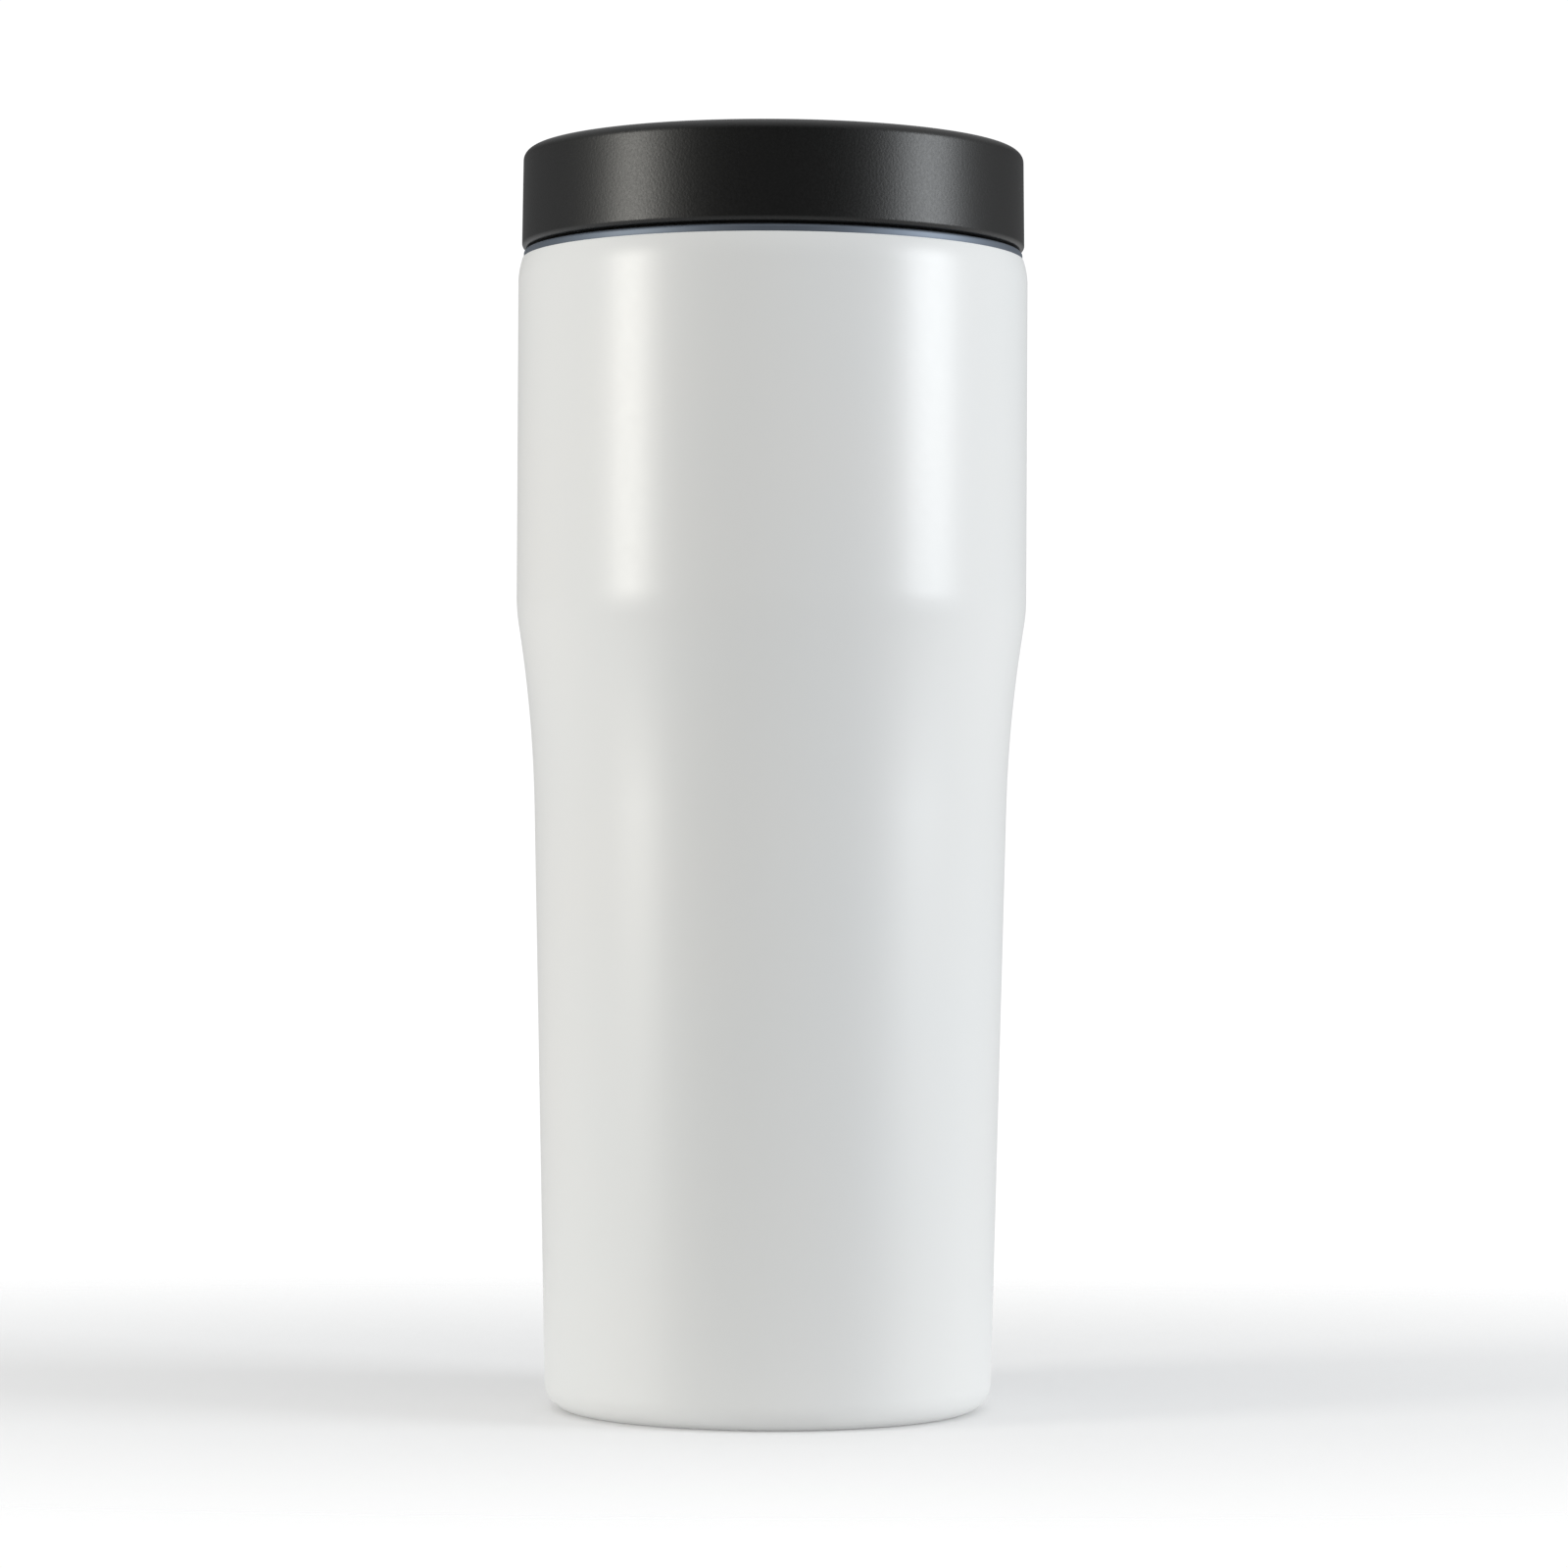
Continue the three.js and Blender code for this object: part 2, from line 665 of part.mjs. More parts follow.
function valveDisc() {
  const ribIn = sealRingR[0] - GAP - 0.9;
  const ribOut = sealRingR[0] - GAP;
  const rimIn = sealRingR[1] + GAP;
  const wallTopZ = discTopZ + 1.4;
  const profile = [
    at(stemNeckR + GAP, DISC_Z),
    at(DISC_R - 1, DISC_Z),
    at(DISC_R, DISC_Z + 1),
    at(DISC_R, wallTopZ),
    at(rimIn, wallTopZ),
    at(rimIn, discTopZ),
    at(ribOut, discTopZ),
    at(ribOut, wallTopZ),
    at(ribIn, wallTopZ),
    at(ribIn, discTopZ),
    at(stemNeckR + GAP, discTopZ),
  ];
  return piece("valve_disc", turnedRing(profile, FINE), finishes.greyPlastic);
}

function valveSeal() {
  const lowZ = discTopZ + GAP;
  const highZ = PLUG_FOOT_Z - GAP;
  const midR = (sealRingR[0] + sealRingR[1]) / 2;
  const profile = [
    at(sealRingR[0], lowZ),
    at(sealRingR[1], lowZ),
    at(sealRingR[1], highZ - 0.7),
    at(midR + 0.6, highZ),
    at(midR - 0.6, highZ),
    at(sealRingR[0], highZ - 0.7),
  ];
  return piece("valve_seal", turnedRing(profile, FINE), finishes.silicone);
}

function valveNut() {
  const sides = 6;
  const topZ = DISC_Z - GAP;
  const boreR = 2.7; // a hexagon that clears the stem's threaded end
  const boreFootZ = stemFootZ - GAP;
  const profile = [
    at(0, boreFootZ - 1.4),
    at(3.0, boreFootZ - 1.4),
    at(4.5, boreFootZ - 0.4),
    at(4.5, topZ),
    at(boreR, topZ),
    at(boreR, boreFootZ),
    at(0, boreFootZ),
  ];
  return piece("valve_nut", turnedBody(profile, sides), finishes.steel);
}

// ---- Assembly ----

const vessel = new THREE.Group();
vessel.add(outerShell(), innerLiner(), copperFoil(), shellBase());
vessel.add(vacuumSeal(), baseCap(), getter(), getterClip());

const lid = new THREE.Group();
lid.add(lidShell(), lidCore(), plugGasket(), deckGasket(), drinkDeck());
lid.add(camSleeve(), returnSpring(), sealRetainer(), stemSeal());

const valve = new THREE.Group();
valve.add(button(), valveStem(), valveDisc(), valveSeal(), valveNut(), rotor());

const tumbler = new THREE.Group();
tumbler.add(vessel, lid, valve);

export default tumbler;
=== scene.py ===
import math

import bmesh
import bpy
from mathutils import Matrix, Vector


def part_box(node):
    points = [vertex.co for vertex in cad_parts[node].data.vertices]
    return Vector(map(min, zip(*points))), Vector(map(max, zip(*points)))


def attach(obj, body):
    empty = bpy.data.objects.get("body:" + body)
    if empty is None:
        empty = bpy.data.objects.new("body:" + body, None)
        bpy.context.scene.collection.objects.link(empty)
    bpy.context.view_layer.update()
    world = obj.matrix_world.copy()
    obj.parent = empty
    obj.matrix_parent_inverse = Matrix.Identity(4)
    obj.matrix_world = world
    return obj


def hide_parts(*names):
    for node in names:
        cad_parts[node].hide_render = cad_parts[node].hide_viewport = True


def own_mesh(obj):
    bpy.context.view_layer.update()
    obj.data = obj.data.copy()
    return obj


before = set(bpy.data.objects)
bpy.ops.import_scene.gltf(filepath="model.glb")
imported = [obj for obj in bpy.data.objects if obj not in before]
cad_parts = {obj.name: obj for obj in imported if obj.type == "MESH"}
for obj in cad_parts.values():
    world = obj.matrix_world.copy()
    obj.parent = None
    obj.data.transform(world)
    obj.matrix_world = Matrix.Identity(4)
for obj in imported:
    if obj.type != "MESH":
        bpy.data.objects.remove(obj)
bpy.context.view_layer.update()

# ---- Outer shell ----
# The tumbler's outside wall is a drawn stainless tube, tapered and waisted to suit a cup holder.
# Its foot is rolled under and turned up into a hem, and its top is necked in below the lip.

MM = 0.001
shell_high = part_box("outer_shell")[1]
BODY_R = shell_high.x / MM
COAT_TOP_Z = shell_high.z / MM
FOOT_R = 32.35
FOOT_ROUND = 4.0
CONE_TOP_R = 34.24
CONE_TOP_Z = 87.0
WAIST_TOP_Z = 115.4
SHOULDER_Z = 163.0
SHOULDER_ARC = 11.0
HEM_R = 26.5
HEM_H = 3.2
SHELL_WALL = 0.7
COAT_T = 0.14
COAT_END_Z = 1.0
EDGE_BLEND = 0.35
EDGE_REACH = 2.5
# The steel reaches a little into the coat, so that no gap opens between the two.
STEEL_INSET = 0.11
HEM_CORNER = 0.4
SHARP_ANGLE = 38


def cone_radius(z):
    share = (z - FOOT_ROUND) / (CONE_TOP_Z - FOOT_ROUND)
    return FOOT_R + share * (CONE_TOP_R - FOOT_R)


def body_radius(z):
    """Radius of the coated body at a height: a cone, a hollow waist that ends in a soft edge, a
    straight tube and a shoulder."""
    if z > SHOULDER_Z:
        return BODY_R - (z - SHOULDER_Z) ** 2 / (2 * SHOULDER_ARC)
    if z < CONE_TOP_Z:
        return cone_radius(z)
    share = (z - CONE_TOP_Z) / (WAIST_TOP_Z - CONE_TOP_Z)
    hollow = cone_radius(z) + share**2 * (BODY_R - cone_radius(WAIST_TOP_Z))
    past_edge = max(-1, min((hollow - BODY_R) / EDGE_BLEND, 1))
    return min(hollow, BODY_R) - EDGE_BLEND * (1 - abs(past_edge)) ** 2 / 4


def evenly(low, high, count):
    return [low + (high - low) * i / count for i in range(count + 1)]


def arc(centre_r, centre_z, radius, from_angle, to_angle, count):
    """Points of an arc in a profile, in degrees counted from straight outwards towards up."""
    angles = [math.radians(a) for a in evenly(from_angle, to_angle, count)]
    return [(centre_r + radius * math.cos(a), centre_z + radius * math.sin(a)) for a in angles]


def body_wall(inset, top):
    """Profile up the outside of the body, set in by a distance, from the foot's flat to its top."""
    heights = evenly(CONE_TOP_Z, WAIST_TOP_Z - EDGE_REACH, 16)[:-1]
    heights += evenly(WAIST_TOP_Z - EDGE_REACH, WAIST_TOP_Z + EDGE_REACH, 12)
    heights += evenly(SHOULDER_Z, top, 10)
    foot = arc(FOOT_R - FOOT_ROUND, FOOT_ROUND, FOOT_ROUND - inset, -90, 0, 12)
    return foot + [(body_radius(z) - inset, z) for z in heights]


def turned(outline, steps=192):
    """A bmesh made by spinning a profile round the axis. A corner is (radius, height) in millimetres,
    with a third value where it is rounded: how far from the corner the rounding starts."""
    bm = bmesh.new()
    corners = [bm.verts.new((corner[0] * MM, 0, corner[1] * MM)) for corner in outline]
    pairs = list(zip(corners, corners[1:]))
    meets_axis = outline[0][0] == 0 and outline[-1][0] == 0
    if not meets_axis:
        pairs.append((corners[-1], corners[0]))
    for pair in pairs:
        bm.edges.new(pair)
    for size in sorted({corner[2] for corner in outline if len(corner) > 2}):
        rounded = [v for v, corner in zip(corners, outline) if len(corner) > 2 and corner[2] == size]
        bmesh.ops.bevel(bm, geom=rounded, offset=size * MM, offset_type="OFFSET", segments=4,
                        profile=0.5, affect="VERTICES", material=-1)
    bmesh.ops.spin(bm, geom=bm.verts[:] + bm.edges[:], cent=(0, 0, 0), axis=(0, 0, 1), dvec=(0, 0, 0),
                   angle=2 * math.pi, steps=steps, use_merge=True, use_duplicate=False)
    bmesh.ops.remove_doubles(bm, verts=bm.verts, dist=1e-7)
    bmesh.ops.recalc_face_normals(bm, faces=bm.faces)
    return bm


def made(name, bm, materials, body, node):
    """Makes a piece from its bmesh, shaded so that flat faces stay flat, gives it its materials, hangs it
    on the body it rides on, and hides the CAD node it stands for."""
    mesh = bpy.data.meshes.new(name)
    bm.to_mesh(mesh)
    bm.free()
    mesh.shade_smooth()
    mesh.set_sharp_from_angle(angle=math.radians(SHARP_ANGLE))
    piece = bpy.data.objects.new(name, mesh)
    bpy.context.scene.collection.objects.link(piece)
    for material in materials:
        mesh.materials.append(material)
    shading = piece.modifiers.new("flat_faces", "WEIGHTED_NORMAL")
    shading.keep_sharp = True
    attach(piece, body)
    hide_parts(node)
    return piece


def srgb(hex_colour):
    """An sRGB hex colour as linear red, green, blue and alpha."""
    channels = [int(hex_colour[i:i + 2], 16) / 255 for i in (0, 2, 4)]
    linear = [c / 12.92 if c <= 0.04045 else ((c + 0.055) / 1.055) ** 2.4 for c in channels]
    return (*linear, 1.0)


def add_node(tree, kind, inputs=None, **settings):
    """Adds a node, sets its properties, and sets its inputs or links them to sockets."""
    node = tree.nodes.new(kind)
    for name, value in settings.items():
        setattr(node, name, value)
    for name, value in (inputs or {}).items():
        if isinstance(value, bpy.types.NodeSocket):
            tree.links.new(value, node.inputs[name])
        else:
            node.inputs[name].default_value = value
    return node


def surface(name, base, metallic, roughness, **values):
    """A new material, its node tree and its shader, with the shader's constant values set on it."""
    material = bpy.data.materials.new(name)
    material.use_nodes = True
    shader = material.node_tree.nodes["Principled BSDF"]
    values.update(Base_Color=srgb(base), Metallic=metallic, Roughness=roughness)
    for socket, value in values.items():
        shader.inputs[socket.replace("_", " ")].default_value = value
    return material, material.node_tree, shader


def grain(tree, size_mm, detail=2.0, stretch=(1, 1, 1)):
    """Noise whose grains are about a size in millimetres across. Gives its socket, from 0 to 1."""
    place = add_node(tree, "ShaderNodeTexCoord").outputs["Object"]
    scaled = add_node(tree, "ShaderNodeMapping", {"Vector": place, "Scale": stretch}).outputs[0]
    noise = add_node(tree, "ShaderNodeTexNoise", {"Vector": scaled, "Scale": 1 / (size_mm * MM),
                                                  "Detail": detail, "Roughness": 0.55})
    return noise.outputs["Fac"]


def rings(tree, spacing_mm):
    """Noise that changes only along the axis and away from it, as the marks on spun and turned metal
    do, about a spacing in millimetres apart. Gives its socket, from 0 to 1."""
    place = add_node(tree, "ShaderNodeTexCoord").outputs["Object"]
    along = add_node(tree, "ShaderNodeSeparateXYZ", {"Vector": place})
    level = add_node(tree, "ShaderNodeVectorMath", {0: place, 1: (1, 1, 0)}, operation="MULTIPLY")
    out = add_node(tree, "ShaderNodeVectorMath", {0: level.outputs[0]}, operation="LENGTH")
    spot = add_node(tree, "ShaderNodeCombineXYZ", {"X": out.outputs["Value"], "Z": along.outputs["Z"]})
    noise = add_node(tree, "ShaderNodeTexNoise", {"Vector": spot.outputs[0], "Detail": 3.0,
                                                  "Scale": 1 / (spacing_mm * MM)})
    return noise.outputs["Fac"]


def spread(tree, value, low, high):
    """A value from 0 to 1 spread between low and high."""
    ranged = add_node(tree, "ShaderNodeMapRange", {"Value": value, "To Min": low, "To Max": high})
    return ranged.outputs["Result"]


def roughen(tree, shader, pattern, low, high, relief_mm, strength):
    """Varies a shader's roughness with a pattern, and raises the pattern by a relief."""
    tree.links.new(spread(tree, pattern, low, high), shader.inputs["Roughness"])
    bump = add_node(tree, "ShaderNodeBump", {"Strength": strength, "Distance": relief_mm * MM,
                                             "Height": pattern})
    tree.links.new(bump.outputs["Normal"], shader.inputs["Normal"])
    return bump


def tint(tree, shader, pattern, dark, light):
    """Varies a shader's base colour between two with a pattern."""
    colours = {"Factor": pattern, "A": srgb(dark), "B": srgb(light)}
    mix = add_node(tree, "ShaderNodeMix", colours, data_type="RGBA")
    tree.links.new(mix.outputs["Result"], shader.inputs["Base Color"])


def polished_stainless():
    # Stainless steel 304, spun and polished: a cool grey mirror, slightly blurred across fine rings.
    # The rings are 0.35 mm apart, coarser than the real polish, so that they show.
    material, tree, shader = surface("polished_stainless", "C4C9CF", 1.0, 0.2)
    tint(tree, shader, grain(tree, 9, 1.0), "BCC3CA", "C9CDD2")
    roughen(tree, shader, rings(tree, 0.35), 0.14, 0.27, 0.01, 0.25)
    return material


stainless = polished_stainless()
steel_top_z = COAT_TOP_Z - 0.25
steel_wall = SHELL_WALL - STEEL_INSET
steel_outside = body_wall(STEEL_INSET, steel_top_z)
steel_outline = steel_outside + [(r - steel_wall, z) for r, z in reversed(steel_outside) if z > FOOT_ROUND]
steel_outline += arc(FOOT_R - FOOT_ROUND, FOOT_ROUND, FOOT_ROUND - SHELL_WALL, 0, -90, 8)
steel_outline += [(HEM_R + SHELL_WALL, SHELL_WALL), (HEM_R + SHELL_WALL, HEM_H, 0.2)]
steel_outline += [(HEM_R, HEM_H, 0.2), (HEM_R, COAT_END_Z + 0.1), (HEM_R + STEEL_INSET, COAT_END_Z)]
steel_outline += [(HEM_R + HEM_CORNER, STEEL_INSET)]
made("shell_steel", turned(steel_outline), [stainless], "vessel", "outer_shell")

# ---- Powder coat ----
# White thermoset powder, sprayed on the shell and baked on, 0.14 mm thick. It stops in a soft edge
# below the bare lip, wraps round the foot and stops again inside the hem.


def white_powder_coat():
    # Polyester powder coat, a white dielectric whose satin face blurs lights into soft strips. Its
    # orange peel is a 1.4 mm swell, and a finer 0.3 mm grain takes the edge off the highlights.
    material, tree, shader = surface("white_powder_coat", "ECECEC", 0.0, 0.34)
    tint(tree, shader, grain(tree, 40), "EAECEC", "EEEDEB")
    peel = roughen(tree, shader, grain(tree, 1.4, 1.0), 0.30, 0.36, 0.02, 0.12)
    fine = add_node(tree, "ShaderNodeBump", {"Strength": 0.12, "Distance": 0.006 * MM,
                                             "Height": grain(tree, 0.3), "Normal": peel.outputs[0]})
    tree.links.new(fine.outputs["Normal"], shader.inputs["Normal"])
    return material


coat_outside = body_wall(0, COAT_TOP_Z)
coat_edge_r, coat_edge_z = coat_outside.pop()
coat_outline = coat_outside + [(coat_edge_r, coat_edge_z, 0.06), (coat_edge_r - COAT_T, coat_edge_z, 0.04)]
coat_outline += [(r - COAT_T, z) for r, z in reversed(coat_outside) if z > FOOT_ROUND]
coat_outline += arc(FOOT_R - FOOT_ROUND, FOOT_ROUND, FOOT_ROUND - COAT_T, 0, -90, 12)
coat_outline += [(HEM_R + HEM_CORNER, COAT_T), (HEM_R + COAT_T, COAT_END_Z), (HEM_R, COAT_END_Z)]
coat_outline += [(HEM_R, 0, HEM_CORNER)]
made("powder_coat", turned(coat_outline), [white_powder_coat()], "vessel", "outer_shell")

# ---- Inner cup ----
# Deep-drawn stainless. Its mouth is curled over the outer shell as a bare, satin lip, with four
# coarse thread ridges rolled into the neck and a smooth band below them for the lid's gasket. The lip's
# outside is painted a darker grey than the rest, as shade from the lid above it.

liner_low, liner_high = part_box("inner_liner")
LIP_Z = liner_high.z / MM
LIP_R = liner_high.x / MM
LINER_WALL = 0.6
VACUUM = 2.6
CUP_BOTTOM_Z = liner_low.z / MM + LINER_WALL
CUP_CORNER = 7.0
THREAD_R = 33.6
SEAL_R = 32.3
NECK_FOOT_Z = 154.6
CURL_T = 0.8
STARTS = 4
LEAD = 24.0
NECK_THREAD_Z = 160.4
NECK_THREAD_SPAN = 70


def cup_radius(z):
    return min(body_radius(z) - SHELL_WALL - VACUUM - LINER_WALL, SEAL_R)


def sweep(bm, section, from_angle, span, steps, rise=0.0):
    """Adds a solid to a bmesh: a section, given as (radius, height) corners, swept round the axis from
    an angle through a span of degrees, and rising evenly. Gives the solid's vertices."""
    older = set(bm.verts)
    corners = [bm.verts.new((r * MM, 0, z * MM)) for r, z in section]
    face = bm.faces.new(corners)
    turn = Matrix.Rotation(math.radians(from_angle), 3, "Z")
    bmesh.ops.rotate(bm, verts=corners, cent=(0, 0, 0), matrix=turn)
    bmesh.ops.spin(bm, geom=corners + list(face.edges) + [face], cent=(0, 0, 0), axis=(0, 0, 1),
                   dvec=(0, 0, rise * MM / steps), angle=math.radians(span), steps=steps,
                   use_duplicate=False)
    return [v for v in bm.verts if v not in older]


def add_thread(bm, root_r, crest_r, low_z, from_angle, span):
    """Adds the thread's ridges, one for each start, on a right-hand helix, run out at both ends."""
    root_w = 1.9
    crest_w = 0.9
    run_out = 9
    low_z += LEAD * from_angle / 360
    section = [(root_r, low_z - root_w / 2), (crest_r, low_z - crest_w / 2),
               (crest_r, low_z + crest_w / 2), (root_r, low_z + root_w / 2)]
    for start in range(STARTS):
        first = from_angle + 360 / STARTS * start
        for v in sweep(bm, section, first, span, 40, LEAD * span / 360):
            along = (math.degrees(math.atan2(v.co.y, v.co.x)) - first + 1) % 360 - 1
            share = max(min(along, span - along) / run_out, 0)
            radius = v.co.xy.length / MM
            height = min(share, 1) ** 0.5 * abs(radius - root_r)
            v.co.xy *= (root_r + math.copysign(height, crest_r - root_r)) / radius


def lip_stainless_painted_shade():
    # The lip's outside is bare stainless, left satin where it was rolled, so that it blurs the lights to a
    # dim glow. Its bluish slate grey, darker than the cup's own steel, is painted shade from the lid above
    # it. Its rings are 0.35 mm apart, coarser than the real marks, so that they show.
    material, tree, shader = surface("lip_stainless_painted_shade", "727A85", 1.0, 0.58)
    tint(tree, shader, grain(tree, 9, 1.0), "6B7480", "79808A")
    roughen(tree, shader, rings(tree, 0.35), 0.52, 0.64, 0.01, 0.25)
    return material


def spun_stainless():
    # The cup is stainless as spun and passivated: a pale, soft sheen that scatters light down into
    # the cup, in rings about 0.9 mm apart.
    material, tree, shader = surface("spun_stainless", "D9DBDD", 1.0, 0.5)
    tint(tree, shader, grain(tree, 12, 1.0), "D3D6D9", "DFE0E1")
    roughen(tree, shader, rings(tree, 0.9), 0.42, 0.6, 0.02, 0.4)
    return material


corner_z = CUP_BOTTOM_Z + CUP_CORNER
corner_r = cup_radius(corner_z) - CUP_CORNER
cup_wall = [(cup_radius(z), z) for z in evenly(CONE_TOP_Z, WAIST_TOP_Z, 16) if cup_radius(z) < SEAL_R]
curl_r = LIP_R - CURL_T
curl_z = COAT_TOP_Z - 0.2
cup_outline = [(0, CUP_BOTTOM_Z - LINER_WALL)]
cup_outline += arc(corner_r, corner_z, CUP_CORNER + LINER_WALL, -90, 0, 10)
cup_outline += [(r + LINER_WALL, z) for r, z in cup_wall]
cup_outline += [(SEAL_R + LINER_WALL, WAIST_TOP_Z, 0.8), (SEAL_R + LINER_WALL, NECK_FOOT_Z - 1, 0.4)]
cup_outline += [(THREAD_R + LINER_WALL, NECK_FOOT_Z, 0.4), (THREAD_R + LINER_WALL, LIP_Z - LINER_WALL, 0.3)]
cup_outline += [(curl_r, LIP_Z - LINER_WALL, 0.2), (curl_r, curl_z), (LIP_R - 0.02, curl_z)]
cup_outline += [(LIP_R, LIP_Z, 0.45), (THREAD_R, LIP_Z, 0.4)]
cup_outline += [(THREAD_R, NECK_FOOT_Z, 0.4), (SEAL_R, NECK_FOOT_Z - 1, 0.4), (SEAL_R, WAIST_TOP_Z, 0.8)]
cup_outline += cup_wall[::-1]
cup_outline += arc(corner_r, corner_z, CUP_CORNER, 0, -90, 10)
cup_outline += [(0, CUP_BOTTOM_Z)]
cup = turned(cup_outline)
add_thread(cup, THREAD_R + LINER_WALL / 2, SEAL_R + 0.1, NECK_THREAD_Z, 0, NECK_THREAD_SPAN)
bmesh.ops.recalc_face_normals(cup, faces=cup.faces)
# Faces on the lip's outside take the darker steel, which is the same stainless painted with the lid's shade.
lip_side_r = LIP_R - 0.5
for face in cup.faces:
    face.material_index = int(face.calc_center_median().xy.length > lip_side_r * MM)
made("inner_cup", cup, [spun_stainless(), lip_stainless_painted_shade()], "vessel", "inner_liner")

# ---- Copper foil ----
# A wrap of thin rolled copper round the lower cup, inside the vacuum, which sends radiant heat back.
# Its seam is left open at the side.


def rolled_copper():
    # Copper foil, bright from the rolling mill and handled since: a warm mirror broken by shallow
    # creases about 4 mm across.
    material, tree, shader = surface("rolled_copper", "D98E6A", 1.0, 0.28)
    creases = grain(tree, 4, 1.0)
    tint(tree, shader, grain(tree, 15), "CB7D5B", "E09B78")
    roughen(tree, shader, creases, 0.18, 0.38, 0.15, 0.6)
    return material


FOIL_T = 0.2
FOIL_GAP = 0.6
FOIL_SEAM = 6
FOIL_Z = (22, 82)
foil_in = [(cup_radius(z) + LINER_WALL + FOIL_GAP, z) for z in FOIL_Z]
foil_out = [(r + FOIL_T, z) for r, z in reversed(foil_in)]
foil = bmesh.new()
sweep(foil, foil_in + foil_out, FOIL_SEAM / 2 - 180, 360 - FOIL_SEAM, 180)
bmesh.ops.recalc_face_normals(foil, faces=foil.faces)
made("heat_foil", foil, [rolled_copper()], "vessel", "copper_foil")

# ---- Base ----
# A stamped plate, welded into the hem, closes the shell. The vessel is pumped out through the hole in
# its dimple, which a glass bead seals, and a thin stamped cap hides the bead.

PLATE_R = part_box("shell_base")[1].x / MM
PLATE_TOP_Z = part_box("shell_base")[1].z / MM
PLATE_FOOT_Z = 0.9
DIMPLE_Z = HEM_H - 0.6
DIMPLE_R = 5
DIMPLE_TOP_R = 7
HOLE_R = 1.5
plate_in_r = PLATE_R - SHELL_WALL
plate_outline = [(HOLE_R, DIMPLE_Z, 0.15), (DIMPLE_R, DIMPLE_Z, 0.5)]
plate_outline += [(DIMPLE_TOP_R, PLATE_TOP_Z - SHELL_WALL, 0.5), (plate_in_r, PLATE_TOP_Z - SHELL_WALL, 0.5)]
plate_outline += [(plate_in_r, PLATE_FOOT_Z, 0.2), (PLATE_R, PLATE_FOOT_Z, 0.2)]
plate_outline += [(PLATE_R, PLATE_TOP_Z, 0.9), (DIMPLE_TOP_R - 0.2, PLATE_TOP_Z, 0.5)]
plate_outline += [(DIMPLE_R - 0.2, DIMPLE_Z + SHELL_WALL, 0.5), (HOLE_R, DIMPLE_Z + SHELL_WALL)]
made("closing_plate", turned(plate_outline, 96), [stainless], "vessel", "shell_base")


def solder_glass():
    # Lead-free solder glass, melted over the hole: a glossy, nearly black bead with a few bubbles.
    material, tree, shader = surface("solder_glass", "2B2622", 0.0, 0.12, IOR=1.7)
    tint(tree, shader, grain(tree, 1.2), "1C1917", "3A332C")
    roughen(tree, shader, grain(tree, 0.5, 1.0), 0.08, 0.25, 0.02, 0.2)
    return material


bead_low, bead_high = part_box("vacuum_seal")
bead_z = bead_low.z / MM
bead_outline = [(0, bead_z), (1.5, bead_z + 0.06), (2.4, bead_z + 0.25, 0.3)]
bead_outline += [(bead_high.x / MM, bead_high.z / MM), (0, bead_high.z / MM)]
made("sealing_bead", turned(bead_outline, 48), [solder_glass()], "vessel", "vacuum_seal")


def brushed_cap_stainless():
    # The cap is pressed from stainless sheet with a circular brushed finish: rings 0.5 mm apart.
    material, tree, shader = surface("brushed_cap_stainless", "C2C4C7", 1.0, 0.3)
    tint(tree, shader, rings(tree, 1.5), "B4B7BA", "CACCCF")
    roughen(tree, shader, rings(tree, 0.5), 0.2, 0.42, 0.02, 0.5)
    return material


cap_low, cap_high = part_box("base_cap")
CAP_R = cap_high.x / MM
CAP_T = 0.5
CAP_RIM_Z = cap_low.z / MM
CAP_DISH_Z = cap_high.z / MM - CAP_T
CAP_DISH_R = 18
CAP_RIM_R = 20
cap_outline = [(0, CAP_DISH_Z), (CAP_DISH_R, CAP_DISH_Z, 0.6), (CAP_RIM_R, CAP_RIM_Z, 0.6)]
cap_outline += [(CAP_R, CAP_RIM_Z, 0.2), (CAP_R, CAP_RIM_Z + CAP_T, 0.1), (CAP_RIM_R, CAP_RIM_Z + CAP_T, 0.6)]
cap_outline += [(CAP_DISH_R, CAP_DISH_Z + CAP_T, 0.6), (0, CAP_DISH_Z + CAP_T)]
made("base_cap_steel", turned(cap_outline), [brushed_cap_stainless()], "vessel", "base_cap")

# ---- Getter and its clip ----
# A pellet of sintered zirconium alloy that soaks up stray gas and keeps the vacuum hard. A strip of
# spring steel with two upright tabs, spot-welded to the plate, holds it.


def sintered_getter():
    # Sintered metal powder: dull, dark and porous, with grains about 0.2 mm across.
    material, tree, shader = surface("sintered_getter", "55534F", 0.7, 0.75)
    tint(tree, shader, grain(tree, 0.6), "403E3B", "6A6863")
    roughen(tree, shader, grain(tree, 0.2, 3.0), 0.6, 0.9, 0.05, 0.8)
    return material


pellet_low, pellet_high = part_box("getter")
PELLET_R = 4.0
pellet_outline = [(0, pellet_low.z / MM), (PELLET_R, pellet_low.z / MM, 0.3)]
pellet_outline += [(PELLET_R, pellet_high.z / MM, 0.3), (0, pellet_high.z / MM)]
made("getter_pellet", turned(pellet_outline, 64), [sintered_getter()], "vessel", "getter")

